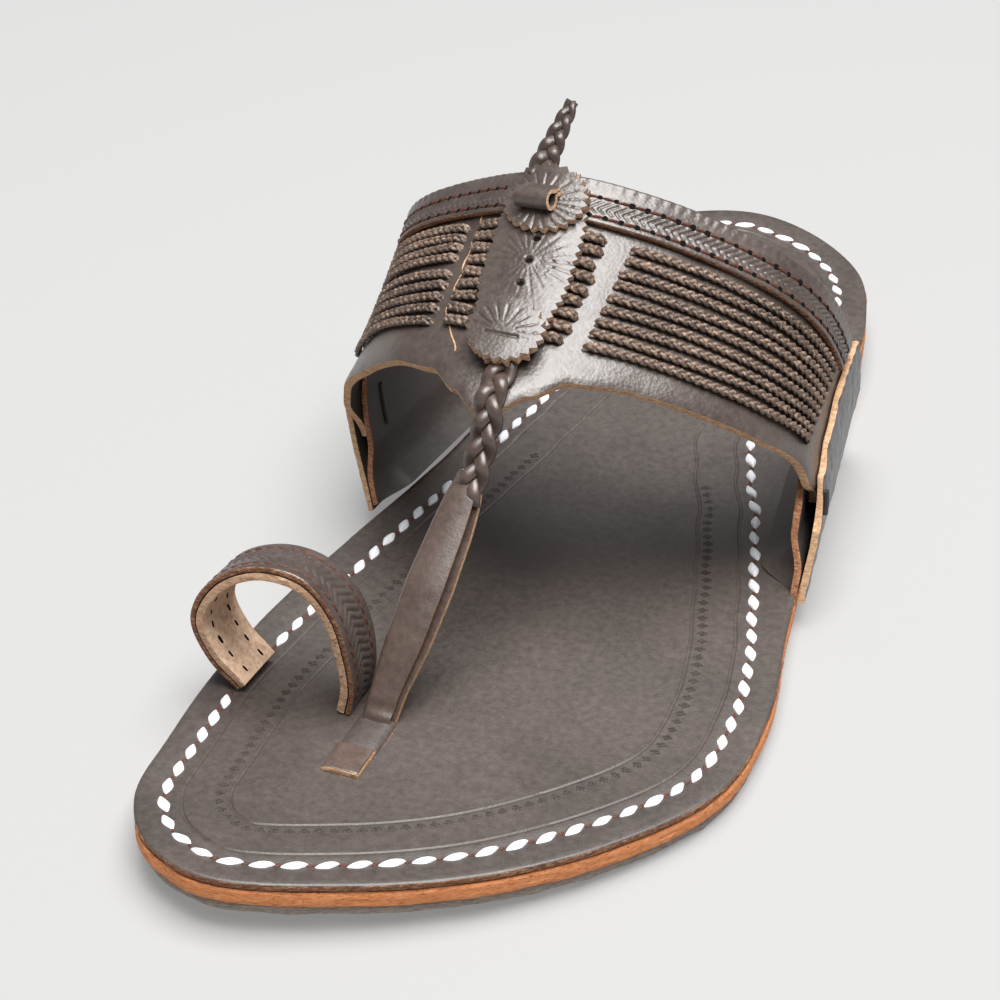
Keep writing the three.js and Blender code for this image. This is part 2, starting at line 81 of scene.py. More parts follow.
SKY_COLOUR = (0.93, 0.96, 1.0, 1)
SKY_STRENGTH = 0.19
world = bpy.data.worlds.new("studio")
world.use_nodes = True
world.node_tree.nodes["Background"].inputs["Color"].default_value = SKY_COLOUR
world.node_tree.nodes["Background"].inputs["Strength"].default_value = SKY_STRENGTH
scene.world = world


def soft_box(name, at, towards, size, watts, colour):
    """A square area light at a point, turned towards another."""
    lamp = bpy.data.objects.new(name, bpy.data.lights.new(name, "AREA"))
    lamp.data.size = size
    lamp.data.energy = watts
    lamp.data.color = colour
    lamp.location = at
    lamp.rotation_mode = "QUATERNION"
    lamp.rotation_quaternion = (Vector(towards) - Vector(at)).to_track_quat("-Z", "Y")
    scene.collection.objects.link(lamp)


LAMP_COLOUR = (1.0, 0.995, 0.98)
soft_box("light_overhead", (0.2, 0.0, 1.7), towards=(0, 0, 0), size=1.3, watts=58.0, colour=LAMP_COLOUR)
soft_box("light_in_front", (0.45, -0.8, 1.9), towards=(0, -0.05, 0), size=1.0, watts=14.0, colour=LAMP_COLOUR)

# ---- Outsole ----------------------------------------------------------------------------------------
# The layer that meets the floor: grey brown buffalo hide, cut to the last's outline and trimmed a
# little inside the midsole. It is glued and nailed on, and its cut edge is rough and fibrous.
MM = 0.001
ORIGIN = {"across": 1.4553, "along": 140.0248}  # from the last's own measures to the frame's origin
GAP = 0.3
OUTSOLE = 2.2
HEEL_LIFT = 4.1
MIDSOLE = 3.4
INSOLE = 1.6
SPRING_START, SOLE_LENGTH, TOE_SPRING = 200.0, 280.0, 5.0
LIFT_FULL_TO, LIFT_END, LIFT_FADE = 50.0, 112.0, 130.0
HEEL_TIP = (0.0, -3.0)
TOE_TIP = (280.0, -29.0)
OUTLINE = {
    "along": (6, 22, 45, 75, 105, 135, 165, 195, 220, 242, 260, 273),
    "inner": (-20, -33, -37.5, -34.5, -36, -41, -47.5, -53, -55, -54, -52, -44),
    "outer": (14, 30, 37.5, 40, 43.5, 46.8, 50, 54, 51.5, 38, 19, -4),
}
SIDE_STEPS = 340  # points along each side of a sole layer
MIDDLE_STEPS = 16  # quads across the middle of a sole layer


def shoe(along, across, up):
    """Points in the frame, in millimetres: along from the heel's back, across outwards, up."""
    x, y, z = np.broadcast_arrays(across + ORIGIN["across"], ORIGIN["along"] - along, up)
    return np.stack([x, y, z], -1).astype(float)


def curve_through(points, closed=False):
    """A smooth curve through points, as a function of the share of its spans from 0 to 1."""
    points = np.asarray(points, float)
    if closed:
        padded = np.vstack([points[-1:], points, points[:2]])
    else:
        padded = np.vstack([2 * points[0] - points[1], points, 2 * points[-1] - points[-2]])
    spans = len(padded) - 3
    knots = np.linalg.norm(np.diff(padded, axis=0), axis=1) ** 0.5

    def at(share):
        place = np.clip(np.asarray(share, float) * spans, 0, spans)
        i = np.minimum(place.astype(int), spans - 1)
        w = (place - i)[..., None]
        a, b, c, d = (padded[i + k] for k in range(4))
        before, here, after = (knots[i + k][..., None] for k in range(3))
        start = ((b - a) / before - (c - a) / (before + here) + (c - b) / here) * here
        end = ((c - b) / here - (d - b) / (here + after) + (d - c) / after) * here
        square = -3 * b + 3 * c - 2 * start - end
        cube = 2 * b - 2 * c + start + end
        return b + start * w + square * w**2 + cube * w**3

    return at


def smoothstep(low, high, x):
    t = np.clip((np.asarray(x, float) - low) / (high - low), 0, 1)
    return t * t * (3 - 2 * t)


def column(table, key, value):
    """A smooth value between the rows of a table, as a function of the table's key column."""
    keys = np.asarray(table[key], float)
    values = np.asarray(table[value], float)

    def at(x):
        x = np.clip(np.asarray(x, float), keys[0], keys[-1])
        i = np.clip(np.searchsorted(keys, x, side="right") - 1, 0, len(keys) - 2)
        t = smoothstep(0, 1, (x - keys[i]) / (keys[i + 1] - keys[i]))
        return values[i] + (values[i + 1] - values[i]) * t

    return at


def wavy(points, wavelength, seed):
    """Smooth random hills from -1 to 1 over points in millimetres."""
    draws = np.random.default_rng(seed)
    total = np.zeros(points.shape[:-1])
    waves = 7
    for _ in range(waves):
        direction = draws.normal(size=points.shape[-1])
        direction *= 2 * math.pi / (wavelength * draws.uniform(0.7, 1.4) * np.linalg.norm(direction))
        total += np.sin(points @ direction + draws.uniform(0, 2 * math.pi))
    return total / waves**0.5 / 1.4


def unit(vectors):
    return vectors / np.maximum(np.linalg.norm(vectors, axis=-1, keepdims=True), 1e-9)


def mesh_piece(name, points, faces, finishes, finish_of_face=None, smooth_to=40):
    """A closed mesh from points in millimetres, with its faces turned outwards."""
    mesh = bpy.data.meshes.new(name)
    mesh.from_pydata((np.asarray(points) * MM).tolist(), [], [list(map(int, f)) for f in faces])
    for finish in finishes:
        mesh.materials.append(finish)
    if finish_of_face is not None:
        mesh.polygons.foreach_set("material_index", np.asarray(finish_of_face, np.int32))
    shape = bmesh.new()
    shape.from_mesh(mesh)
    bmesh.ops.recalc_face_normals(shape, faces=shape.faces)
    shape.to_mesh(mesh)
    shape.free()
    mesh.polygons.foreach_set("use_smooth", [True] * len(mesh.polygons))
    mesh.set_sharp_from_angle(angle=math.radians(smooth_to))
    piece = bpy.data.objects.new(name, mesh)
    scene.collection.objects.link(piece)
    return piece


def fit(piece, slot, *nodes):
    """Puts a finished piece on the sandal and hides the CAD nodes that it stands for. The slot is not used.
    """
    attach(piece, "root")
    if nodes:
        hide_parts(*nodes)
    return piece


class Recipe:
    """A material under construction: adds nodes and joins them to the shader."""

    def __init__(self, name):
        self.material = bpy.data.materials.new(name)
        self.material.use_nodes = True
        self.nodes = self.material.node_tree.nodes
        self.shader = self.nodes["Principled BSDF"]
        self.place = self.nodes.new("ShaderNodeTexCoord").outputs["Object"]

    def join(self, source, target):
        self.material.node_tree.links.new(source, target)

    def stretched(self, scale):
        """Object coordinates drawn out, for grain or fibres that run one way."""
        mapping = self.nodes.new("ShaderNodeMapping")
        mapping.inputs["Scale"].default_value = scale
        self.join(self.place, mapping.inputs["Vector"])
        return mapping.outputs["Vector"]

    def noise(self, size_mm, detail=3.0, place=None, rough=0.55):
        """Cloudy noise whose lumps measure about size_mm."""
        made = self.nodes.new("ShaderNodeTexNoise")
        made.inputs["Scale"].default_value = 1 / (size_mm * MM)
        made.inputs["Detail"].default_value = detail
        made.inputs["Roughness"].default_value = rough
        self.join(place or self.place, made.inputs["Vector"])
        return made.outputs["Fac"]

    def cells(self, size_mm, feature="F1"):
        """Distances in a field of cells, for pebbled leather and punched specks."""
        made = self.nodes.new("ShaderNodeTexVoronoi")
        made.feature = feature
        made.inputs["Scale"].default_value = 1 / (size_mm * MM)
        self.join(self.place, made.inputs["Vector"])
        return made.outputs["Distance"]

    def ramp(self, source, *stops):
        """A colour ramp; each stop is a position and a colour."""
        made = self.nodes.new("ShaderNodeValToRGB")
        ramp = made.color_ramp
        while len(ramp.elements) < len(stops):
            ramp.elements.new(0.5)
        for element, (position, colour) in zip(ramp.elements, stops):
            element.position = position
            element.color = (*colour, 1)
        self.join(source, made.inputs["Fac"])
        return made.outputs["Color"]

    def number(self, source, low, high, start=0.0, end=1.0):
        """Maps a source from low..high to start..end."""
        made = self.nodes.new("ShaderNodeMapRange")
        made.inputs["From Min"].default_value = low
        made.inputs["From Max"].default_value = high
        made.inputs["To Min"].default_value = start
        made.inputs["To Max"].default_value = end
        self.join(source, made.inputs["Value"])
        return made.outputs["Result"]

    def mix(self, share, first, second, blend="MIX"):
        """Mixes two colours; either may be a socket or a plain colour."""
        made = self.nodes.new("ShaderNodeMix")
        made.data_type = "RGBA"
        made.blend_type = blend
        for value, socket in ((share, made.inputs[0]), (first, made.inputs[6]), (second, made.inputs[7])):
            if isinstance(value, bpy.types.NodeSocket):
                self.join(value, socket)
            else:
                socket.default_value = value if socket.type == "VALUE" else (*value, 1)
        return made.outputs[2]

    def bump(self, height, depth_mm, strength=1.0, over=None):
        made = self.nodes.new("ShaderNodeBump")
        made.inputs["Strength"].default_value = strength
        made.inputs["Distance"].default_value = depth_mm * MM
        self.join(height, made.inputs["Height"])
        if over is not None:
            self.join(over, made.inputs["Normal"])
        return made.outputs["Normal"]

    def done(self, colour, roughness, normal=None, specular=0.5):
        self.join(colour, self.shader.inputs["Base Color"])
        if isinstance(roughness, bpy.types.NodeSocket):
            self.join(roughness, self.shader.inputs["Roughness"])
        else:
            self.shader.inputs["Roughness"].default_value = roughness
        if normal is not None:
            self.join(normal, self.shader.inputs["Normal"])
        self.shader.inputs["Specular IOR Level"].default_value = specular
        return self.material


def cut_edge(name, dark, middle, light, fibre_mm=0.5, layers=5.0, depth_mm=0.25):
    """The cut edge of a hide: fibres lie in fine level layers, with open dark pores."""
    recipe = Recipe(name)
    level = recipe.stretched((1, 1, layers))
    fibres = recipe.noise(fibre_mm * 3, 6, level, 0.7)
    blotches = recipe.noise(9, 3)
    colour = recipe.ramp(fibres, (0.30, dark), (0.47, middle), (0.68, light))
    worn = recipe.mix(recipe.number(blotches, 0.35, 0.7), colour, middle)
    colour = recipe.mix(0.45, colour, worn)
    pores = recipe.number(recipe.noise(fibre_mm, 4), 0.36, 0.30)
    colour = recipe.mix(pores, colour, dark)
    normal = recipe.bump(recipe.noise(fibre_mm, 5, level, 0.7), depth_mm, 0.8)
    return recipe.done(colour, 0.85, normal, 0.25)


def run_along(points):
    """Millimetres from the first point to each point of a line."""
    return np.concatenate([[0], np.cumsum(np.linalg.norm(np.diff(points, axis=0), axis=1))])


def outline_sides():
    """The sole's outer and inner sides in (along, across), heel to toe, evenly spaced."""
    rows = list(zip(OUTLINE["along"], OUTLINE["inner"], OUTLINE["outer"]))
    points = [HEEL_TIP, *((a, o) for a, _, o in rows), TOE_TIP, *((a, i) for a, i, _ in reversed(rows))]
    fine = curve_through(points, closed=True)(np.linspace(0, 1, 4001))[:-1]
    fine = np.roll(fine, -int(np.argmin(fine[:, 0])), axis=0)
    toe = int(np.argmax(fine[:, 0]))
    sides = []
    for side in (fine[: toe + 1], np.vstack([fine[toe:], fine[:1]])[::-1]):
        run = run_along(side)
        even = np.linspace(0, run[-1], SIDE_STEPS + 1)
        sides.append(np.stack([np.interp(even, run, side[:, k]) for k in (0, 1)], -1))
    return sides


outer_side, inner_side = outline_sides()
rim = np.vstack([outer_side, inner_side[-2:0:-1]])  # the whole outline as one closed ring
rim_forward = unit(np.roll(rim, -1, 0) - np.roll(rim, 1, 0))
rim_inward = np.stack([rim_forward[:, 1], -rim_forward[:, 0]], -1)
if ((rim[0] + rim_inward[0] - rim.mean(0)) ** 2).sum() > ((rim[0] - rim.mean(0)) ** 2).sum():
    rim_inward = -rim_inward
SOFTEN = 14  # ring steps over which the inward direction is evened out for the deeper insets
rim_soft = unit(sum(np.roll(rim_inward, k, 0) * math.exp(-((k / SOFTEN) ** 2)) for k in range(-30, 31)))
SOFT_FROM = 4.0  # millimetres of inset that follow the outline exactly


def inset_ring(inset):
    """The outline moved inwards, by one inset or one for each point."""
    inset = np.broadcast_to(np.asarray(inset, float), len(rim))[:, None]
    return rim + rim_inward * np.minimum(inset, SOFT_FROM) + rim_soft * np.maximum(inset - SOFT_FROM, 0)


def spring_at(along):
    return TOE_SPRING * (np.maximum(0, along - SPRING_START) / (SOLE_LENGTH - SPRING_START)) ** 2


def outsole_top(along):
    return spring_at(along) + OUTSOLE


def lift_top(along):
    return outsole_top(along) + GAP + HEEL_LIFT * (1 - smoothstep(LIFT_FULL_TO, LIFT_FADE, along))


def midsole_bottom(along):
    return lift_top(along) + GAP * (1 - smoothstep(LIFT_END, LIFT_FADE, along))


def midsole_top(along):
    return midsole_bottom(along) + MIDSOLE


def insole_top(along):
    return midsole_top(along) + GAP + INSOLE


def sole_piece(name, loops, finishes, loop_finish, cap_finish, fill=MIDDLE_STEPS, last=None):
    """A sole layer from rings round the outline, each a pair of inset and height function, from the
    middle of the underside out to the edge, up and back in to the middle of the top. With last, the
    layer is cut straight across at that step from the heel."""
    whole = len(rim)
    kept = np.arange(whole) if last is None else np.r_[0 : last + 1, whole - last : whole]
    size = len(kept)
    points = []
    for inset, height_at in loops:
        flat = inset_ring(inset)[kept]
        points.append(shoe(flat[:, 0], flat[:, 1], height_at(flat)))
    faces = []
    finish_of_face = []
    for k in range(len(loops) - 1):
        for i in range(size):
            j = (i + 1) % size
            faces.append((k * size + i, k * size + j, (k + 1) * size + j, (k + 1) * size + i))
            finish_of_face.append(loop_finish[k])
    table = np.vstack(points)
    extra = []
    shares = np.arange(1, fill) / fill
    stations = size // 2 if last is None else last + 1
    for cap, base in enumerate((0, (len(loops) - 1) * size)):
        height_at = loops[0][1] if cap == 0 else loops[-1][1]
        rows = [[base]]
        for i in range(1, stations):
            one, other = table[base + i], table[base + size - i]
            middle = one + (other - one) * shares[:, None]
            flat = np.stack([ORIGIN["along"] - middle[:, 1], middle[:, 0] - ORIGIN["across"]], -1)
            middle[:, 2] = height_at(flat)
            first = len(table) + len(extra)
            extra.extend(middle)
            rows.append([base + i, *range(first, first + len(middle)), base + size - i])
        if last is None:
            rows.append([base + stations])
        for near, far in zip(rows, rows[1:]):
            if len(near) == 1:
                faces += [(near[0], far[k], far[k + 1]) for k in range(len(far) - 1)]
            elif len(far) == 1:
                faces += [(near[k], far[0], near[k + 1]) for k in range(len(near) - 1)]
            else:
                faces += [(near[k], far[k], far[k + 1], near[k + 1]) for k in range(len(near) - 1)]
        finish_of_face += [cap_finish[cap]] * (len(faces) - len(finish_of_face))
    if extra:
        table = np.vstack([table, np.array(extra)])
    return mesh_piece(name, table, faces, finishes, finish_of_face)


def ragged(flat, seed, amount):
    """Small unevenness of a hand-cut edge, in millimetres of inset."""
    return amount * (0.6 * wavy(flat, 11, seed) + 0.4 * wavy(flat, 2.6, seed + 1))


def layer_loops(bottom_at, top_at, trim, seed, amount, levels, round_off=0.35):
    """The rings of a plain layer: flat below, a cut wall with rounded corners, flat above."""

    def level_at(flat, share):
        return bottom_at(flat[:, 0]) * (1 - share) + top_at(flat[:, 0]) * share

    loops = [(trim + 4, lambda flat: bottom_at(flat[:, 0]))]
    for k in range(levels + 1):
        share = k / levels
        corner = round_off * (abs(2 * share - 1) ** 6)
        bumps = ragged(rim, seed + 3 * k, amount) + ragged(rim, seed + 100, amount)
        loops.append((trim + corner + bumps, lambda flat, s=share: level_at(flat, s)))
    loops.append((trim + 4, lambda flat: top_at(flat[:, 0])))
    return loops


TREAD_INSET = 1.0
grey_hide = cut_edge(
    "grey_hide_edge", (0.16, 0.12, 0.095), (0.33, 0.275, 0.235), (0.50, 0.44, 0.39), fibre_mm=0.45, layers=4,
)
tread = Recipe("outsole_underside")
tread_fibres = tread.noise(1.2, 6, tread.stretched((3, 0.6, 1)), 0.65)
tread_colour = tread.ramp(tread_fibres, (0.3, (0.20, 0.155, 0.12)), (0.7, (0.42, 0.35, 0.29)))
tread_scuffs = tread.number(tread.noise(14, 5), 0.52, 0.66)
tread_colour = tread.mix(tread_scuffs, tread_colour, (0.36, 0.31, 0.27))
tread_hide = tread.done(tread_colour, 0.8, tread.bump(tread.noise(0.5, 5), 0.15, 0.6), 0.3)
outsole_loops = layer_loops(spring_at, outsole_top, TREAD_INSET, seed=3, amount=0.22, levels=6, round_off=0.3)
outsole = sole_piece("outsole_hide", outsole_loops, [grey_hide, tread_hide], [1] + [0] * 7, [1, 0])
fit(outsole, "grey_sole_leather", "outsole")

# ---- Heel lift --------------------------------------------------------------------------------------
# A wedge of tan hide between outsole and midsole, full height under the heel and skived down at the
# waist, where it ends in a thin straight edge. It is a little darker than the midsole's hide.
LIFT_DARK, LIFT_MIDDLE, LIFT_LIGHT = (0.22, 0.07, 0.03), (0.60, 0.21, 0.085), (0.82, 0.42, 0.22)
lift_edge = cut_edge("lift_hide_edge", LIFT_DARK, LIFT_MIDDLE, LIFT_LIGHT, fibre_mm=0.55, layers=4)
lift_steps = int(np.searchsorted(outer_side[:, 0], LIFT_END))


def lift_bottom(along):
    return outsole_top(along) + GAP


lift_loops = layer_loops(lift_bottom, lift_top, 0.15, seed=41, amount=0.16, levels=7, round_off=0.3)
heel_lift = sole_piece("heel_lift_hide", lift_loops, [lift_edge], [0] * 9, [0, 0], fill=1, last=lift_steps)
fit(heel_lift, "tan_sole_leather", "heel_lift")

# ---- Midsole ----------------------------------------------------------------------------------------
# Thick vegetable tanned hide under the whole foot. Its edge is cut by hand, burnished and left in its
# own orange tan, with dark pores and level fibres. It is glued between insole and outsole.
TAN_DARK, TAN_MIDDLE, TAN_LIGHT = (0.27, 0.080, 0.028), (0.74, 0.265, 0.100), (0.90, 0.46, 0.23)
tan_edge = cut_edge("tan_hide_edge", TAN_DARK, TAN_MIDDLE, TAN_LIGHT, fibre_mm=0.5, layers=5)
midsole_loops = layer_loops(midsole_bottom, midsole_top, 0, seed=17, amount=0.16, levels=8, round_off=0.35)
midsole = sole_piece("midsole_hide", midsole_loops, [tan_edge], [0] * 10, [0, 0])
fit(midsole, "tan_sole_leather", "midsole")

# ---- Insole -----------------------------------------------------------------------------------------
# Dark dyed hide, dressed smooth on top, that the foot stands on. Two lines are pressed into it inside
# the lace stitches, and the leather dips a little along the lace, where it is pulled tight.
LACE_INSET = {  # how far the lace runs inside the edge, on the inner and on the outer side
    "along": (0, 12, 33, 60, 90, 101, 112, 130, 146, 158, 175, 195, 223, 250, 265, 280),
    "inner": (7.5, 7.0, 7.0, 8.6, 11.0, 9.4, 8.0, 7.2, 7.2, 7.5, 7.8, 7.5, 6.4, 6.0, 5.7, 6.2),
    "outer": (7.5, 6.8, 7.0, 10.0, 16.6, 18.4, 16.4, 12.6, 10.3, 8.3, 6.6, 6.5, 6.3, 7.0, 6.7, 6.2),
}
LINE_INSIDE_LACE = 3.3
LINE_BY_DOTS = 12.4
LINE_HALF = 0.45
LINE_DEPTH = 0.28
rim_steps = len(rim) // 2
lace_inset = np.concatenate([
    column(LACE_INSET, "along", "outer")(rim[: rim_steps + 1, 0]),
    column(LACE_INSET, "along", "inner")(rim[rim_steps + 1 :, 0]),
])


def leather(name, dark, light, grain_mm=0.75, grain_depth=0.07, rough=(0.38, 0.56), dust=0.12, crinkle=0.05):
    """Dyed hide with a fine pebbled grain, cloudy dye, a soft dressed sheen and a little dust."""
    recipe = Recipe(name)
    clouds = recipe.noise(26, 4)
    fine = recipe.noise(1.6, 5, None, 0.65)
    colour = recipe.ramp(clouds, (0.34, dark), (0.66, light))
    shade = recipe.number(fine, 0.3, 0.7, 0.78, 1.22)
    tone = recipe.nodes.new("ShaderNodeCombineColor")
    for channel in range(3):
        recipe.join(shade, tone.inputs[channel])
    colour = recipe.mix(1.0, colour, tone.outputs[0], "MULTIPLY")
    specks = recipe.number(recipe.noise(0.55, 2), 0.70, 0.78, 0, dust)
    colour = recipe.mix(specks, colour, (0.30, 0.25, 0.21))
    pebbles = recipe.cells(grain_mm)
    folds = recipe.noise(4.5, 6, None, 0.6)
    normal = recipe.bump(folds, crinkle * 4, 0.6)
    normal = recipe.bump(pebbles, grain_depth, 0.7, normal)
    normal = recipe.bump(recipe.noise(0.22, 3), grain_depth * 0.5, 0.5, normal)
    return recipe.done(colour, recipe.number(fine, 0.25, 0.75, *rough), normal, 0.9)


insole_leather = leather(
    "insole_leather", (0.049, 0.037, 0.032), (0.075, 0.058, 0.050), grain_mm=0.5, grain_depth=0.035,
    rough=(0.40, 0.55), dust=0.30, crinkle=0.02,
)
EDGE_DARK, EDGE_MIDDLE, EDGE_LIGHT = (0.055, 0.022, 0.014), (0.20, 0.085, 0.045), (0.58, 0.33, 0.19)
dyed_edge = cut_edge("dyed_hide_edge", EDGE_DARK, EDGE_MIDDLE, EDGE_LIGHT, fibre_mm=0.4, layers=3)


def insole_height(drop=0.0):
    """The insole's top, with soft hills, lowered by one depth or one for each ring point."""
    return lambda flat: insole_top(flat[:, 0]) + 0.10 * wavy(flat, 45, 5) - drop


def insole_bottom(along):
    return midsole_top(along) + GAP


insole_loops = layer_loops(insole_bottom, insole_top, 0.05, seed=61, amount=0.10, levels=4, round_off=0.25)
insole_loops = insole_loops[:-2]  # the dressed top takes the place of the plain one
insole_loops += [(0.12, insole_height(0.28)), (0.32, insole_height(0.10)), (0.7, insole_height(0.0))]
insole_loops += [(1.8, insole_height()), (3.2, insole_height(0.02))]
for offset, drop in ((-1.7, 0.05), (-0.8, 0.22), (0, 0.3), (0.8, 0.22), (1.7, 0.03)):
    insole_loops.append((lace_inset + offset, insole_height(drop)))
for line in (LINE_INSIDE_LACE, LINE_BY_DOTS):
    for offset, drop in ((-1.6, -0.03), (-1, -0.05), (-0.35, 0.8), (0.35, 0.8), (1, -0.05), (1.6, -0.03)):
        insole_loops.append((lace_inset + line + offset * LINE_HALF, insole_height(drop * LINE_DEPTH)))
    insole_loops.append((lace_inset + line + 2, insole_height()))
walls = 5
insole_faces = [1] * walls + [0] * (len(insole_loops) - 1 - walls)
insole = sole_piece("insole_hide", insole_loops, [insole_leather, dyed_edge], insole_faces, [1, 0], fill=30)
fit(insole, "dark_leather", "insole")

# ---- White lace -------------------------------------------------------------------------------------
# A flat white lace sews insole, midsole and outsole together in one running stitch round the sole. Each
# stitch comes up through a hole, twists over and goes down again, so it reads as a puffed lozenge.
LACE_PITCH = 5.9
LACE_STITCH = {"length": 5.4, "width": 2.3, "puff": 0.62, "lean": 0.5}
RING_FOOT = (212, 225)  # the toe ring's foot stands on the lace here, on the inner side


class Tree:
    """A geometry tree under construction: adds nodes, joins them and ends in finished mesh."""

    def __init__(self, name, inputs):
        self.group = bpy.data.node_groups.new(name, "GeometryNodeTree")
        for label, kind in {"Geometry": "Geometry", **inputs, "Material": "Material"}.items():
            self.group.interface.new_socket(label, in_out="INPUT", socket_type=f"NodeSocket{kind}")
        self.group.interface.new_socket("Geometry", in_out="OUTPUT", socket_type="NodeSocketGeometry")
        self.given = self.add("NodeGroupInput").outputs

    def add(self, kind, **settings):
        node = self.group.nodes.new(kind)
        for key, value in settings.items():
            setattr(node, key, value)
        return node

    def join(self, source, target):
        self.group.links.new(source, target)

    def maths(self, operation, first, second=0.0):
        node = self.add("ShaderNodeMath", operation=operation)
        for value, socket in zip((first, second), node.inputs):
            if isinstance(value, bpy.types.NodeSocket):
                self.join(value, socket)
            else:
                socket.default_value = value
        return node.outputs[0]

    def scaled(self, vector, scale):
        node = self.add("ShaderNodeVectorMath", operation="SCALE")
        self.join(vector, node.inputs[0])
        self.join(scale, node.inputs["Scale"])
        return node.outputs[0]

    def attribute(self, label, kind="FLOAT_VECTOR"):
        node = self.add("GeometryNodeInputNamedAttribute", data_type=kind)
        node.inputs["Name"].default_value = label
        return node.outputs["Attribute"]

    def end(self, geometry):
        """Realises the instances, sets the material that the tree was given and hands the mesh out."""
        realize = self.add("GeometryNodeRealizeInstances")
        finish = self.add("GeometryNodeSetMaterial")
        self.join(geometry, realize.inputs[0])
        self.join(realize.outputs[0], finish.inputs[0])
        self.join(self.given["Material"], finish.inputs["Material"])
        self.join(finish.outputs[0], self.add("NodeGroupOutput").inputs[0])
        return self.group


def laying_tree():
    """Lays one small piece on every point, turned and sized by the points' own attributes."""
    inputs = {"Piece": "Object", "Size spread": "Float", "Turn spread": "Float", "Seed": "Int"}
    tree = Tree("lay_pieces", inputs)
    given = tree.given

    def spread(key, middle, seed_step):
        draw = tree.add("FunctionNodeRandomValue", data_type="FLOAT")
        tree.join(tree.maths("SUBTRACT", middle, given[key]), draw.inputs[2])
        tree.join(tree.maths("ADD", middle, given[key]), draw.inputs[3])
        tree.join(tree.maths("ADD", given["Seed"], seed_step), draw.inputs["Seed"])
        return draw.outputs[1]

    turn = tree.add("FunctionNodeAxesToRotation", primary_axis="Z", secondary_axis="X")
    tree.join(tree.attribute("lift"), turn.inputs[0])
    tree.join(tree.attribute("forward"), turn.inputs[1])
    swing = tree.add("FunctionNodeAxisAngleToRotation")
    tree.join(spread("Turn spread", 0.0, 1), swing.inputs["Angle"])
    rotate = tree.add("FunctionNodeRotateRotation", rotation_space="LOCAL")
    tree.join(turn.outputs[0], rotate.inputs[0])
    tree.join(swing.outputs[0], rotate.inputs[1])
    source = tree.add("GeometryNodeObjectInfo")
    source.inputs["As Instance"].default_value = True
    tree.join(given["Piece"], source.inputs["Object"])
    lay = tree.add("GeometryNodeInstanceOnPoints")
    tree.join(given["Geometry"], lay.inputs["Points"])
    tree.join(source.outputs["Geometry"], lay.inputs["Instance"])
    tree.join(rotate.outputs[0], lay.inputs["Rotation"])
    tree.join(tree.scaled(tree.attribute("size"), spread("Size spread", 1.0, 2)), lay.inputs["Scale"])
    return tree.end(lay.outputs[0])


LAYING = laying_tree()


def settle(piece, tree, settings):
    """Runs a node tree on a piece, then leaves only the plain mesh that it makes."""
    modifier = piece.modifiers.new("laying", "NODES")
    modifier.node_group = tree
    for item in tree.interface.items_tree:
        if item.item_type == "SOCKET" and item.in_out == "INPUT" and item.name in settings:
            modifier[item.identifier] = settings[item.name]
    bpy.context.view_layer.update()
    evaluated = piece.evaluated_get(bpy.context.evaluated_depsgraph_get())
    mesh = bpy.data.meshes.new_from_object(evaluated)
    piece.modifiers.clear()
    piece.data = mesh
    mesh.name = piece.name
    mesh.polygons.foreach_set("use_smooth", [True] * len(mesh.polygons))
    return piece


def pointed_mesh(name, points, vectors, edges=()):
    """A mesh of bare points in millimetres that carry named vectors or numbers."""
    mesh = bpy.data.meshes.new(name)
    mesh.from_pydata((np.asarray(points) * MM).tolist(), list(edges), [])
    for label, values in vectors.items():
        values = np.asarray(values, np.float32)
        kind = "FLOAT_VECTOR" if values.ndim == 2 else "FLOAT"
        attribute = mesh.attributes.new(label, kind, "POINT")
        attribute.data.foreach_set("vector" if values.ndim == 2 else "value", values.ravel())
    piece = bpy.data.objects.new(name, mesh)
    scene.collection.objects.link(piece)
    return piece


def lay(name, small, points, forward, lift, finish, size=1.0, size_spread=0.0, turn_spread=0.0, seed=1):
    """Many copies of one small mesh, joined into one piece."""
    count = len(points)
    vectors = {
        "forward": np.broadcast_to(forward, (count, 3)),
        "lift": np.broadcast_to(lift, (count, 3)),
        "size": np.full((count, 3), float(size)),
    }
    spreads = {"Size spread": size_spread, "Turn spread": turn_spread, "Seed": seed}
    return settle(
        pointed_mesh(name, points, vectors), LAYING, {"Piece": small, "Material": finish, **spreads},
    )


def small_pad(name, length, width, puff, lean=0.0, sink=0.3, steps=(10, 6), point=1.6):
    """A puffed lozenge with pointed ends, lying along X, for one stitch. Lean slants it."""
    columns, rows = steps
    points = []
    for i in range(columns + 1):
        x = -1 + 2 * i / columns
        half = 0.5 * width * max(0.0, 1 - abs(x) ** point) + 0.02
        for j in range(rows + 1):
            y = -1 + 2 * j / rows
            up = puff * (1 - y * y) * (1 - x**4) - sink * x**6
            points.append((0.5 * length * x, half * y + lean * width * x * 0.5, up))
    top = len(points)
    points += [(x, y, -sink) for x, y, _ in points]
    faces = []

    def at(i, j):
        return i * (rows + 1) + j

    for i in range(columns):
        for j in range(rows):
            quad = (at(i, j), at(i + 1, j), at(i + 1, j + 1), at(i, j + 1))
            faces.append(quad)
            faces.append(tuple(top + k for k in reversed(quad)))
    loop = [at(i, 0) for i in range(columns + 1)] + [at(columns, j) for j in range(1, rows + 1)]
    loop += [at(i, rows) for i in range(columns - 1, -1, -1)] + [at(0, j) for j in range(rows - 1, 0, -1)]
    faces += [(a, b, top + b, top + a) for a, b in zip(loop, loop[1:] + loop[:1])]
    piece = mesh_piece(name, points, faces, [])
    piece.hide_render = True
    return piece


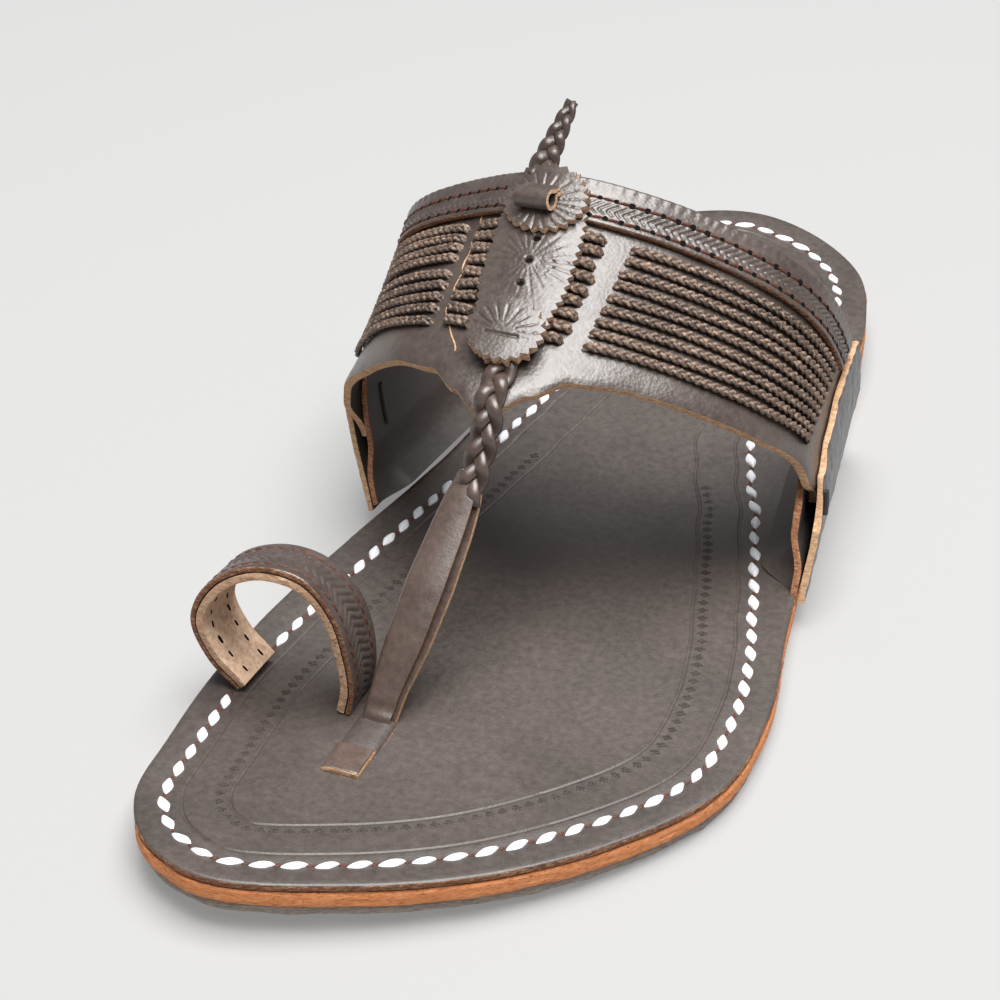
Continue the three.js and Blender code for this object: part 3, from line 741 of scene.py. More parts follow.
def along_ring(inset, pitch, start=0.0):
    """Evenly spaced places on a ring inside the outline: flat points and forward directions."""
    ring = inset_ring(inset)
    closed = np.vstack([ring, ring[:1]])
    run = run_along(closed)
    count = round(run[-1] / pitch)
    marks = (np.arange(count) + start) * run[-1] / count

    def at(m):
        return np.stack([np.interp(m % run[-1], run, closed[:, k]) for k in (0, 1)], -1)

    flat = at(marks)
    ahead = at(marks + 0.4) - at(marks - 0.4)
    rise = insole_top(flat[:, 0] + ahead[:, 0]) - insole_top(flat[:, 0] - ahead[:, 0])
    forward = unit(np.stack([ahead[:, 1], -ahead[:, 0], rise / 2], -1))
    return flat, forward


def on_insole(flat, up=0.0):
    return shoe(flat[:, 0], flat[:, 1], insole_top(flat[:, 0]) + 0.10 * wavy(flat, 45, 5) + up)


UPRIGHT = np.array([0.0, 0.0, 1.0])
lace = Recipe("white_lace")
lace_fibres = lace.noise(0.35, 4, lace.stretched((1, 1, 3)))
lace_colour = lace.ramp(lace_fibres, (0.25, (0.66, 0.67, 0.72)), (0.6, (0.88, 0.89, 0.93)))
lace_white = lace.done(lace_colour, 0.6, lace.bump(lace_fibres, 0.08, 0.5), 0.4)
lace_flat, lace_forward = along_ring(lace_inset, LACE_PITCH)
under_ring = (lace_flat[:, 0] > RING_FOOT[0]) & (lace_flat[:, 0] < RING_FOOT[1]) & (lace_flat[:, 1] < 0)
lace_pad = small_pad("lace_pad", **LACE_STITCH)
lace_points = on_insole(lace_flat, -0.22)[~under_ring]
lace_piece = lay(
    "lace_stitches", lace_pad, lace_points, lace_forward[~under_ring], UPRIGHT, lace_white, size=1,
    size_spread=0.08, turn_spread=0.14, seed=11,
)
fit(lace_piece, "white_lace")

thread = Recipe("brown_thread")
thread_twist = thread.noise(0.3, 3)
thread_colour = thread.ramp(thread_twist, (0.3, (0.045, 0.012, 0.008)), (0.7, (0.17, 0.055, 0.030)))
brown_thread = thread.done(thread_colour, 0.6, thread.bump(thread_twist, 0.08), 0.4)
link_flat, link_forward = along_ring(lace_inset, LACE_PITCH, 0.5)
link_pad = small_pad("link_pad", length=1.7, width=0.6, puff=0.2, lean=0.6, sink=0.2, steps=(6, 4), point=3)
link_points = on_insole(link_flat, -0.16)
links = lay(
    "lace_holes", link_pad, link_points, link_forward, UPRIGHT, brown_thread, size=1, size_spread=0.15,
    turn_spread=0.25, seed=12,
)
fit(links, "dark_thread")

# ---- Pressed dots -----------------------------------------------------------------------------------
# A maker's border stamp: small diamonds of four dots, struck one after another between the lace and the inner
# pressed line, all round the forefoot and lightly by the heel. Only the dots of the forefoot are drawn.
DOT_PITCH = 2.7
DOT_ROW = 10.2  # inside the lace
DOT_SPREAD = 0.62
DOT = {"radius": 0.36, "rim_height": 0.07, "sides": 8}


def small_dish(name, radius, rim_height, sides):
    """A round pressed dot: a low swollen rim round a dished middle."""
    profile = ((1.5, -0.05), (1.15, rim_height), (0.85, rim_height * 0.5), (0.45, 0.012))
    points = [(r * radius * math.cos(a), r * radius * math.sin(a), z)
              for r, z in profile for a in (2 * math.pi * k / sides for k in range(sides))]
    faces = [(
        r * sides + k, r * sides + (k + 1) % sides, (r + 1) * sides + (k + 1) % sides, (r + 1) * sides + k,
    )
             for r in range(len(profile) - 1) for k in range(sides)]
    faces.append(tuple((len(profile) - 1) * sides + k for k in range(sides)))
    faces.append(tuple(reversed(range(sides))))
    piece = mesh_piece(name, points, faces, [], smooth_to=80)
    piece.hide_render = True
    return piece


pressed = Recipe("pressed_leather")
pressed_colour = pressed.ramp(pressed.noise(0.6), (0.35, (0.024, 0.018, 0.016)), (0.7, (0.060, 0.045, 0.038)))
pressed_dark = pressed.done(pressed_colour, 0.5, None, 0.4)
stamp_flat, stamp_forward = along_ring(lace_inset + DOT_ROW, DOT_PITCH)
sideways = np.cross(UPRIGHT, stamp_forward)
dot_points = []
dot_forward = []
for ahead, aside in ((0.8, 0), (-0.8, 0), (0, 1), (0, -1)):
    dot_points.append(on_insole(stamp_flat) + DOT_SPREAD * (ahead * stamp_forward + aside * sideways))
    dot_forward.append(stamp_forward)
struck = np.tile(stamp_flat[:, 0] > 120, 4)
dot_points = np.vstack(dot_points)[struck]
dot = small_dish("dot", **DOT)
dot_forward = np.vstack(dot_forward)[struck]
dots = lay(
    "pressed_dots", dot, dot_points, dot_forward, UPRIGHT, pressed_dark, size=1, size_spread=0.25,
    turn_spread=0.3, seed=13,
)
fit(dots, "dark_leather")

# ---- Ears -------------------------------------------------------------------------------------------
# Two ears on each side hold the band. The outer ear is a separate flap caught between insole and
# midsole; the inner ear is the insole's own flap, turned up. The band is sewn in between the two.
FOOT_AXIS = {"across": -4, "up": 28}  # the middle of the space under the band
ARCH = {  # the band's outer face, from the inner foot over the crown to the outer foot
    "rear": ((91, -35.9, 3), (95, -49.5, 30), (112, -51.5, 59), (122, -31, 75), (133, -8, 85),
             (127, 18, 77.5), (116, 40, 60.5), (101, 45.5, 33), (91, 42.3, 3)),
    "front": ((159, -46.9, 3), (148, -55.5, 31), (158, -45, 49), (169, -28, 60.5), (174, -9, 64),
              (170, 12, 60.5), (158, 38, 47), (146, 48.5, 31), (156, 49.3, 3)),
}
LAST_ROW = 8
EAR_TOPS = {  # top edges in rows above the foot; the last share is the ear's own front edge
    "inner": {
        "share": (-0.1, 0.3, 0.65, 0.92), "ear": (1.08, 1.0, 0.95, 0.92), "flap": (1.1, 1.3, 1.45, 1.45),
    },
    "outer": {"share": (-0.1, 0.3, 0.65, 0.9, 1.0), "ear": (1.15, 1.15, 1.06, 0.94, 0.6),
              "flap": (1.1, 1.1, 1.0, 0.9, 0.7)},
}
EAR_REAR_SHARE = -0.1
BAND_WALL = 2.2
EAR_WALL = 1.5
EAR_FOOT_ROW = 0.12  # the outer ear comes out of the joint over the midsole
FLAP_FOOT_ROW = 0.16  # the inner ear leaves the insole's top
FLAP_FILLET = {"inner": 4.0, "outer": 7.5}  # how far the inner ear's bend runs in over the insole


def arch_line(key):
    rows = np.array(ARCH[key], float)
    line = curve_through(shoe(rows[:, 0], rows[:, 1], rows[:, 2]))
    return lambda row: line(np.asarray(row, float) / LAST_ROW)


rear_line, front_line = arch_line("rear"), arch_line("front")


def arch_at(share, row):
    """The band's outer face, by share of the way from the rear line to the front line and by row."""
    share = np.asarray(share, float)[..., None]
    return rear_line(row) * (1 - share) + front_line(row) * share


def away_from(axis, points, normals):
    """The normals turned to point away from a line that runs along the shoe."""
    out = points - np.array([axis["across"] + ORIGIN["across"], 0, axis["up"]])
    return normals * np.where((normals * out * (1, 0, 1)).sum(-1) < 0, -1, 1)[..., None]


def grid_normals(middle, axis):
    return away_from(axis, middle, unit(np.cross(np.gradient(middle, axis=0), np.gradient(middle, axis=1))))


def sheet(name, surface, low, high, cells, finishes, axis=FOOT_AXIS, rough=0.12, seed=1, smooth_to=40):
    """A piece of hide between two offsets of a surface, which takes two grids that run from 0 to 1.
    Its finishes are for the outer face, the inner face and the cut edge, which is a little ragged."""
    columns, rows = cells
    a, b = np.meshgrid(np.linspace(0, 1, columns + 1), np.linspace(0, 1, rows + 1), indexing="ij")
    middle = surface(a, b)
    normal = grid_normals(middle, axis)
    low = low(a, b, middle) if callable(low) else np.full(a.shape, float(low))
    high = high(a, b, middle) if callable(high) else np.full(a.shape, float(high))
    border = np.minimum(np.minimum(a, 1 - a) * columns, np.minimum(b, 1 - b) * rows) < 0.5
    inner = middle + normal * low[..., None]
    outer = middle + normal * (high - 0.12 * border)[..., None]
    count = a.size

    def at(i, j):
        return i * (rows + 1) + j

    faces = []
    for i in range(columns):
        for j in range(rows):
            faces.append((at(i, j), at(i + 1, j), at(i + 1, j + 1), at(i, j + 1)))
    faces += [tuple(count + k for k in reversed(face)) for face in faces]
    finish_of_face = [0] * (columns * rows) + [1] * (columns * rows)
    loop = [(i, 0) for i in range(columns)] + [(columns, j) for j in range(rows)]
    loop += [(i, rows) for i in range(columns, 0, -1)] + [(0, j) for j in range(rows, 0, -1)]
    inside = [(min(max(i, 1), columns - 1), min(max(j, 1), rows - 1)) for i, j in loop]
    i, j = np.array(loop).T
    k, m = np.array(inside).T
    outward = unit(middle[i, j] - middle[k, m])
    levels = (0.2, 0.5, 0.8)
    points = [outer.reshape(-1, 3), inner.reshape(-1, 3)]
    rings = [count + i * (rows + 1) + j]
    for number, level in enumerate(levels):
        between = inner[i, j] * (1 - level) + outer[i, j] * level
        fibres = 0.5 * wavy(between, 4.5, seed + number) + 0.7 * wavy(between, 1.3, seed + 9 + number)
        push = 0.10 + rough * fibres
        rings.append(2 * count + number * len(loop) + np.arange(len(loop)))
        points.append(between + outward * push[:, None])
    rings.append(i * (rows + 1) + j)
    for first, second in zip(rings, rings[1:]):
        after, beyond = np.roll(first, -1), np.roll(second, -1)
        faces += list(zip(first, after, beyond, second))
    finish_of_face += [2] * (len(faces) - len(finish_of_face))
    return mesh_piece(name, np.vstack(points), faces, finishes, finish_of_face, smooth_to)


band_leather = leather(
    "band_leather", (0.054, 0.038, 0.032), (0.092, 0.070, 0.060), grain_mm=0.8, grain_depth=0.07,
    rough=(0.28, 0.44), dust=0.05, crinkle=0.03,
)
# The ears' cool grey-blue tone is partly painted sheen on the hide's own dark colour.
ear_leather = leather(
    "ear_leather", (0.035, 0.033, 0.036), (0.075, 0.072, 0.078), grain_mm=1.3, grain_depth=0.2,
    rough=(0.30, 0.45), dust=0.10, crinkle=0.12,
)
flesh_side = leather(
    "flesh_side", (0.028, 0.022, 0.019), (0.055, 0.044, 0.038), grain_mm=0.6, grain_depth=0.06,
    rough=(0.55, 0.75), dust=0.25, crinkle=0.03,
)
RAW_DARK, RAW_MIDDLE, RAW_LIGHT = (0.22, 0.10, 0.05), (0.55, 0.32, 0.18), (0.78, 0.56, 0.36)
raw_edge = cut_edge("raw_hide_edge", RAW_DARK, RAW_MIDDLE, RAW_LIGHT, fibre_mm=0.4, layers=3)
brown_edge = cut_edge(
    "brown_hide_edge", (0.10, 0.035, 0.018), (0.34, 0.14, 0.07), (0.62, 0.36, 0.2), fibre_mm=0.4, layers=3,
)

for side in ("inner", "outer"):
    tops = EAR_TOPS[side]
    ear_top, flap_top = column(tops, "share", "ear"), column(tops, "share", "flap")

    def ear_share(a):
        return EAR_REAR_SHARE + (tops["share"][-1] - EAR_REAR_SHARE) * a

    def ear_row(rows):
        return rows if side == "inner" else LAST_ROW - rows

    def ear_surface(a, b):
        share = ear_share(a)
        foot = EAR_FOOT_ROW + 0.06 * (1 - share)
        return arch_at(share, ear_row(foot + b * (ear_top(share) - foot)))

    def ear_clear(a, b):
        return GAP * smoothstep(0.15, 0.5, b * ear_top(ear_share(a)))

    ear = sheet(
        f"ear_{side}_side", ear_surface, lambda a, b, p: ear_clear(a, b),
        lambda a, b, p: ear_clear(a, b) + EAR_WALL + 0.16 * wavy(p, 9, 3) + 0.08 * wavy(p, 3, 4), (110, 44),
        [ear_leather, flesh_side, raw_edge], seed=71,
    )
    fit(ear, "dark_leather", f"ear_{side}_side_outer_layer")

    def flap_rows(a, b):
        return FLAP_FOOT_ROW + b * (flap_top(ear_share(a)) - FLAP_FOOT_ROW)

    def flap_outer(a, b, p):
        return -GAP - BAND_WALL * smoothstep(0.3, 0.58, flap_rows(a, b))

    def flap_inner(a, b, p):
        rows = flap_rows(a, b)
        bend = np.clip(1 - (rows - FLAP_FOOT_ROW) / 0.34, 0, 1)
        skived = smoothstep(flap_top(ear_share(a)) - 0.35, flap_top(ear_share(a)), rows) * (side == "inner")
        thick = EAR_WALL * (1 - 0.6 * skived) + FLAP_FILLET[side] * bend**2 * smoothstep(1.0, 0.86, a)
        return flap_outer(a, b, p) - thick + 0.10 * wavy(p, 16, 6)

    flap = sheet(
        f"flap_{side}_side", lambda a, b: arch_at(ear_share(a), ear_row(flap_rows(a, b))), flap_inner,
        flap_outer, (110, 60), [flesh_side, insole_leather, brown_edge], seed=81,
    )
    fit(flap, "dark_leather", f"ear_{side}_side_inner_layer")

# ---- Instep band ------------------------------------------------------------------------------------
# One broad piece of hide, arched over the foot. Its front edge is cut raw and its grain is polished by
# handling; on the inner side of the leaf a narrow panel is let in, and its skived edge shows pale.
FRONT_REACH = {
    "row": (0.6, 1.0, 1.5, 2.0, 2.6, 3.2, 3.55, 3.87, 4.1, 4.35, 4.7, 5.2, 6.6, 7.0, 7.4),
    "reach": (0.9, 1.0, 1.04, 1.06, 1.05, 1.08, 1.16, 1.24, 1.22, 1.13, 1.02, 0.985, 0.985, 1.0, 0.8),
}
CROWN_ROW = 3.87
BAND_FOOT_ROWS = 0.6
front_reach = column(FRONT_REACH, "row", "reach")


def band_row(a):
    return BAND_FOOT_ROWS + a * (LAST_ROW - 2 * BAND_FOOT_ROWS)


def band_surface(a, b):
    return arch_at(b * front_reach(band_row(a)), band_row(a))


def band_outer(a, b, points):
    front = np.clip(1 - (1 - b) * 14, 0, 1)
    return 0.07 * wavy(points, 13, 21) + 0.035 * wavy(points, 3.5, 22) - 0.35 * front**2


band = sheet(
    "instep_band", band_surface, lambda a, b, p: -BAND_WALL + 0.05 * wavy(p, 7, 23), band_outer, (230, 56),
    [band_leather, flesh_side, raw_edge], rough=0.16, seed=91,
)
fit(band, "dark_leather", "upper")


def on_arch(share, row, lift=0.0):
    """A point on the band's outer face, lifted off it by some millimetres, with its directions: across
    the band towards the outer foot, forwards, and up off the face."""
    share, row = np.broadcast_arrays(np.asarray(share, float), np.asarray(row, float))
    step = 0.01
    across = unit(arch_at(share, row + step) - arch_at(share, row - step))
    ahead = unit(arch_at(share + step, row) - arch_at(share - step, row))
    up = away_from(FOOT_AXIS, arch_at(share, row), unit(np.cross(across, ahead)))
    lift = np.broadcast_to(np.asarray(lift, float), share.shape)[..., None]
    return arch_at(share, row) + up * lift, across, np.cross(up, across), up


def sweep(name, centre, side, sections, finishes, finish_of_edge=None, smooth_to=40):
    """A bar along centre points; each section is a closed run of offsets along side and off it."""
    centre = np.asarray(centre, float)
    forward = unit(np.gradient(centre, axis=0))
    off = unit(np.cross(forward, side))
    side = np.cross(off, forward)
    sections = np.asarray(sections, float)
    points = centre[:, None] + side[:, None] * sections[..., :1] + off[:, None] * sections[..., 1:]
    stations, size = sections.shape[:2]
    faces = []
    finish_of_face = []
    for k in range(stations - 1):
        for i in range(size):
            j = (i + 1) % size
            faces.append((k * size + i, k * size + j, (k + 1) * size + j, (k + 1) * size + i))
            finish_of_face.append(finish_of_edge[i] if finish_of_edge else 0)
    faces += [tuple(range(size)), tuple(range((stations - 1) * size, stations * size))]
    finish_of_face += [len(finishes) - 1] * 2
    return mesh_piece(name, points.reshape(-1, 3), faces, finishes, finish_of_face, smooth_to)


def oval(half, thick, sides=8):
    angles = 2 * math.pi * (np.arange(sides) + 0.5) / sides
    return np.stack([np.cos(angles) * half, np.sin(angles) * thick], -1)


def bead(name, points, side, half, thick, finish, slot):
    """A thin raised line, such as a skived edge or a thread, along points."""
    return fit(sweep(name, points, side, [oval(half, thick)] * len(points), [finish]), slot)


PANEL_ROW = 3.13
panel_share = np.linspace(0.22, 0.985, 60)
panel_row = PANEL_ROW + 0.30 * smoothstep(0.75, 1.0, panel_share) + 0.012 * np.sin(panel_share * 47)
panel_line, panel_side, _, _ = on_arch(panel_share, panel_row, 0.02)
bead("panel_edge", panel_line, panel_side, half=0.2, thick=0.2, finish=raw_edge, slot="dark_leather")

# Black thread ties each ear to the band: a long stitch shows inside, and a knot on the outer side.
tie_rows = np.linspace(0.60, 1.0, 12)
tie_line, _, tie_ahead, _ = on_arch(0.81, tie_rows, -BAND_WALL - GAP - EAR_WALL - 0.12)
tie_thread = leather(
    "tie_thread", (0.006, 0.005, 0.005), (0.015, 0.012, 0.011), grain_mm=0.3, grain_depth=0.05,
    rough=(0.6, 0.8), dust=0, crinkle=0.02,
)
bead("ear_tie", tie_line, tie_ahead, half=0.55, thick=0.3, finish=tie_thread, slot="dark_thread")
knot_line, _, knot_ahead, _ = on_arch(0.93, LAST_ROW - np.linspace(0.66, 0.84, 8), EAR_WALL + GAP + 0.35)
bead("ear_knot", knot_line, knot_ahead, half=0.9, thick=0.6, finish=tie_thread, slot="dark_thread")

# ---- Rear border ------------------------------------------------------------------------------------
# A strip sewn over the band's rear edge with two rows of brown thread, pressed with a herringbone tool
# between the rows. Its cut edge is dyed brown.
BORDER = {"share": 0.22, "rows": (1.16, 6.75), "wall": 1.3, "thread_rows": (0.40, 0.86)}
TOOL_PITCH = 1.75
TOOL_DEPTH = 0.34
THREAD_PITCH = 3.3
FLUTES = {"pitch": 2.3, "depth": 0.05}  # faint ripples behind the rear row of thread


def border_row(a):
    return BORDER["rows"][0] + a * (BORDER["rows"][1] - BORDER["rows"][0])


def herringbone(run, wide, pitch, depth):
    """Pressed slanting lines that turn back part of the way; wide runs from 0 to 1 over the field."""
    slant = np.where(wide < 0.62, wide * 2.2, 0.62 * 2.2 - (wide - 0.62) * 3.2)
    phase = (run / pitch + slant) % 1
    field = smoothstep(0, 0.10, wide) * smoothstep(1, 0.90, wide)
    return -depth * field * np.exp(-(((phase - 0.5) / 0.17) ** 2))


def border_outer(a, b, points):
    run = run_along(points[:, points.shape[1] // 2])[:, None] * np.ones(b.shape)
    low, high = BORDER["thread_rows"]
    tooling = herringbone(
        run, np.clip((b - low - 0.05) / (high - low - 0.10), 0, 1), pitch=TOOL_PITCH, depth=TOOL_DEPTH,
    )
    turns = run * 2 * math.pi / FLUTES["pitch"] + 2 * wavy(points, 20, 33)
    flutes = FLUTES["depth"] * np.sin(turns) * smoothstep(low - 0.08, 0.1, b)
    threads = sum(0.16 * np.exp(-(((b - row) / 0.045) ** 2)) for row in BORDER["thread_rows"])
    return GAP + BORDER["wall"] + tooling + flutes - threads + 0.04 * wavy(points, 10, 31)


border = sheet(
    "rear_border", lambda a, b: arch_at(b * BORDER["share"], border_row(a)), GAP, border_outer, (760, 38),
    [band_leather, flesh_side, dyed_edge], rough=0.10, seed=101, smooth_to=60,
)
fit(border, "dark_leather", "rear_border")

thread_pad = small_pad(
    "thread_pad", length=2.6, width=0.62, puff=0.30, lean=0.2, sink=0.12, steps=(8, 4), point=4,
)
# Near black: painted shade inside the rear border's stitch holes and the leaf's punched holes, and the real
# colour of the black thread inside the toe ring.
hole_dark = Recipe("hole_dark")
shade_and_black_thread_colour = hole_dark.ramp(hole_dark.noise(1), (0, (0.004, 0.003, 0.003)), (1, (0.008, 0.006, 0.005)))
shade_and_black_thread_finish = hole_dark.done(shade_and_black_thread_colour, 0.9, None, 0.1)
# The stitch hole dish is painted shade: a near-black dot where the thread goes into the hide.
hole = small_dish("stitch_hole", radius=0.5, rim_height=0.04, sides=8)
BORDER_FACE = GAP + BORDER["wall"]
row_points, row_forward, row_up, hole_points = [], [], [], []
fine_rows = border_row(np.linspace(0.003, 0.997, 3000))
for wide in BORDER["thread_rows"]:
    share = wide * BORDER["share"]
    run = run_along(arch_at(np.full(len(fine_rows), share), fine_rows))
    marks = np.arange(1.5, run[-1] - 1, THREAD_PITCH)
    place, ahead, _, up = on_arch(share, np.interp(marks, run, fine_rows), BORDER_FACE - 0.02)
    row_points.append(place)
    row_forward.append(ahead)
    row_up.append(up)
    between = np.interp(marks + THREAD_PITCH / 2, run, fine_rows)
    hole_points.append(on_arch(share, between, BORDER_FACE - 0.04)[0])
row_points, row_forward, row_up, hole_points = map(np.vstack, (row_points, row_forward, row_up, hole_points))
fit(
    lay(
        "border_threads", thread_pad, row_points, row_forward, row_up, brown_thread, size=1,
        size_spread=0.1, turn_spread=0.1, seed=14,
    ),
    "dark_thread",
)
# Painted shade in the stitch holes, between the brown stitches.
fit(
    lay(
        "border_holes", hole, hole_points, row_forward, row_up, shade_and_black_thread_finish, size=1, size_spread=0.15,
        turn_spread=0.5, seed=15,
    ),
    "dark_thread",
)

# ---- Plaited cords ----------------------------------------------------------------------------------
# Nine thin cords on each side of the leaf, each plaited from three strands of brown calf, laid side by
# side over the band and pulled down through slits at their ends. Short ends come out by the leaf.
CORD_SHARES = (0.29, 0.835)
CORD_ROWS = 9
CORD_GROUPS = {"cord_inner": (1.4, 3.02), "cord_outer": (4.62, 6.7)}
PLAIT = {"Strand": 0.50, "Flat": 0.85, "Swing": 0.56, "Rise": 0.30, "Pitch": 6.0}


def plait_tree():
    """Plaits three strands round a line of points that carry side, lift, run and size."""
    tree = Tree("plait", dict.fromkeys(("Strand", "Flat", "Swing", "Rise", "Pitch"), "Float"))
    given = tree.given
    side, lift, size = tree.attribute("side"), tree.attribute("lift"), tree.attribute("size", "FLOAT")
    pitches = tree.maths("DIVIDE", tree.attribute("run", "FLOAT"), given["Pitch"])
    turn = tree.maths("MULTIPLY", pitches, 2 * math.pi)
    profile = tree.add("GeometryNodeCurvePrimitiveCircle")
    profile.inputs["Resolution"].default_value = 7
    tree.join(given["Strand"], profile.inputs["Radius"])
    flat_scale = tree.add("ShaderNodeCombineXYZ")
    tree.join(given["Flat"], flat_scale.inputs[0])
    flat_scale.inputs[1].default_value = 1
    flat_scale.inputs[2].default_value = 1
    flatten = tree.add("GeometryNodeTransform")
    tree.join(flat_scale.outputs[0], flatten.inputs["Scale"])
    tree.join(profile.outputs[0], flatten.inputs["Geometry"])
    strands = tree.add("GeometryNodeJoinGeometry")
    for strand in range(3):
        angle = tree.maths("ADD", turn, 2 * math.pi * strand / 3)
        once = tree.maths("SINE", angle)
        twice = tree.maths("SINE", tree.maths("MULTIPLY", angle, 2.0))
        swing = tree.maths("MULTIPLY", tree.maths("MULTIPLY", once, given["Swing"]), size)
        rise = tree.maths("MULTIPLY", tree.maths("MULTIPLY", twice, given["Rise"]), size)
        shift = tree.add("ShaderNodeVectorMath", operation="ADD")
        tree.join(tree.scaled(side, swing), shift.inputs[0])
        tree.join(tree.scaled(lift, rise), shift.inputs[1])
        move = tree.add("GeometryNodeSetPosition")
        tree.join(given["Geometry"], move.inputs["Geometry"])
        tree.join(shift.outputs[0], move.inputs["Offset"])
        curve = tree.add("GeometryNodeMeshToCurve")
        tree.join(move.outputs[0], curve.inputs["Mesh"])
        upright = tree.add("GeometryNodeSetCurveNormal", mode="FREE")
        tree.join(curve.outputs[0], upright.inputs["Curve"])
        tree.join(lift, upright.inputs["Normal"])
        tube = tree.add("GeometryNodeCurveToMesh")
        tree.join(upright.outputs[0], tube.inputs["Curve"])
        tree.join(flatten.outputs[0], tube.inputs["Profile Curve"])
        tree.join(size, tube.inputs["Scale"])
        tube.inputs["Fill Caps"].default_value = True
        tree.join(tube.outputs[0], strands.inputs[0])
    return tree.end(strands.outputs[0])


PLAITING = plait_tree()


def plait(name, centre, side, lift, finish, size=1.0, start=0.0, settings=PLAIT):
    """A plaited cord along a line of points."""
    count = len(centre)
    run = (run_along(centre) + start) * MM
    values = {"side": side, "lift": lift, "run": run, "size": np.broadcast_to(size, (count,))}
    piece = pointed_mesh(name, centre, values, [(k, k + 1) for k in range(count - 1)])
    given = {key: value * (1 if key == "Flat" else MM) for key, value in settings.items()}
    return settle(piece, PLAITING, {"Material": finish, **given})


cord = Recipe("cord_calf")
cord_clouds = cord.noise(14, 3)
cord_highlight_and_wear = cord.noise(0.8, 4)
cord_tone = cord.mix(cord.number(cord_clouds, 0.35, 0.65), (0.060, 0.041, 0.032), (0.140, 0.093, 0.070))
# Light flecks from the fine noise are partly painted highlight on the strands and partly rubbed wear.
cord_tone = cord.mix(cord.number(cord_highlight_and_wear, 0.50, 0.72), cord_tone, (0.40, 0.27, 0.19))
cord_rough = cord.number(cord_highlight_and_wear, 0.3, 0.7, 0.35, 0.6)
cord_calf = cord.done(cord_tone, cord_rough, cord.bump(cord.noise(0.3, 3), 0.05, 0.5), 0.5)


def cord_share(group, n, row):
    """Where a cord runs: even rows on the outer side, and on the inner side two bunches."""
    share = CORD_SHARES[0] + (CORD_SHARES[1] - CORD_SHARES[0]) * n / (CORD_ROWS - 1)
    if group == "cord_inner":
        near = smoothstep(1.5, 3.0, row)
        share = share + 0.02 * (1.5 - n) * (n < 4) * near * 0.5 - 0.012 * (n < 4) + 0.004 * (n >= 4)
    return share


draws = np.random.default_rng(7)
for group, (start, end) in CORD_GROUPS.items():
    for n in range(CORD_ROWS):
        rows = np.linspace(start, end, 130 if group == "cord_inner" else 170)
        share = cord_share(group, n, rows) + 0.0035 * np.sin(rows * 5 + draws.uniform(0, 6))
        ends = np.minimum(np.arange(len(rows)), np.arange(len(rows))[::-1]) / 6
        up_by = 0.95 - 2.1 * np.clip(1 - ends, 0, 1) ** 2
        centre, ahead, front, up = on_arch(share, rows, up_by)
        piece = plait(
            f"{group}_{n + 1}_plait", centre, front, up, cord_calf, size=1.0, start=draws.uniform(0, 5),
        )
        fit(piece, "cord_leather", f"{group}_{n + 1}")

STUBS = {"stub_inner": (3.16, 3.5), "stub_outer": (4.1, 4.47)}
STUB_STEPS = 30
STUB_PLAIT = {**PLAIT, "Strand": 0.62}
for group, (start, end) in STUBS.items():
    for n in range(CORD_ROWS):
        share = CORD_SHARES[0] + (CORD_SHARES[1] - CORD_SHARES[0]) * n / (CORD_ROWS - 1)
        wobble = draws.uniform(-0.03, 0.03)
        rows = np.linspace(start + wobble, end + wobble, STUB_STEPS)
        outside = np.arange(STUB_STEPS)[::-1] if group == "stub_outer" else np.arange(STUB_STEPS)
        up_by = 1.1 - 2.1 * np.clip(1 - outside / 6, 0, 1) ** 2
        aslant = 0.01 * np.linspace(-1, 1, STUB_STEPS) * draws.uniform(-1, 1)
        centre, ahead, front, up = on_arch(share + aslant, rows, up_by)
        start_of_twist = draws.uniform(0, 5)
        piece = plait(
            f"{group}_{n + 1}", centre, front, up, cord_calf, size=1.0, start=start_of_twist,
            settings=STUB_PLAIT,
        )
        fit(piece, "cord_leather")

# ---- Leaf and rosettes ------------------------------------------------------------------------------
# Three cut-outs sewn on the crown, one over the other: a long leaf and two rosettes, all cut with a
# pinking tool that leaves pale teeth, and struck with rayed flowers round small punched holes.
APPLIQUE_WALL = 1.3
LEAF = {"share": (0.0, 0.12, 0.35, 0.6, 0.82, 0.97, 1.04), "half": (5, 8, 9, 8.8, 7.2, 5.8, 2)}
CROWN_LENGTH = 47.0
LEAF_LIFT = GAP + BORDER["wall"] + GAP
ROSETTE_LIFT = LEAF_LIFT + APPLIQUE_WALL + GAP
TOOTH = {"pitch": 2.1, "depth": 0.95}
CROWN_DRIFT = 0.045  # the applique lies a little askew: millimetres across for each millimetre forward
leaf_half = column(LEAF, "share", "half")


def crown_patch(flat):
    """The crown's face, by millimetres forward of the rear line and across from the crown's line."""
    share = flat[..., 0] / CROWN_LENGTH
    rows = CROWN_ROW + 0 * share
    width = np.linalg.norm(arch_at(share, rows + 0.5) - arch_at(share, rows - 0.5), axis=-1)
    return share, CROWN_ROW + (flat[..., 1] + CROWN_DRIFT * flat[..., 0]) / width


def pinked(outline, tooth=TOOTH, steps=6):
    """A closed outline resampled so that it carries whole teeth."""
    closed = np.vstack([outline, outline[:1]])
    run = run_along(closed)
    teeth = round(run[-1] / tooth["pitch"])
    marks = np.arange(teeth * steps) * run[-1] / (teeth * steps)
    even = np.stack([np.interp(marks, run, closed[:, k]) for k in (0, 1)], -1)
    tangent = unit(np.roll(even, -1, 0) - np.roll(even, 1, 0))
    outward = np.stack([tangent[:, 1], -tangent[:, 0]], -1)
    if (outward * (even - even.mean(0))).sum() < 0:
        outward = -outward
    wave = np.abs((np.arange(teeth * steps) % steps) / steps - 0.5) * 2
    return even + outward * ((wave - 0.6) * tooth["depth"])[:, None]


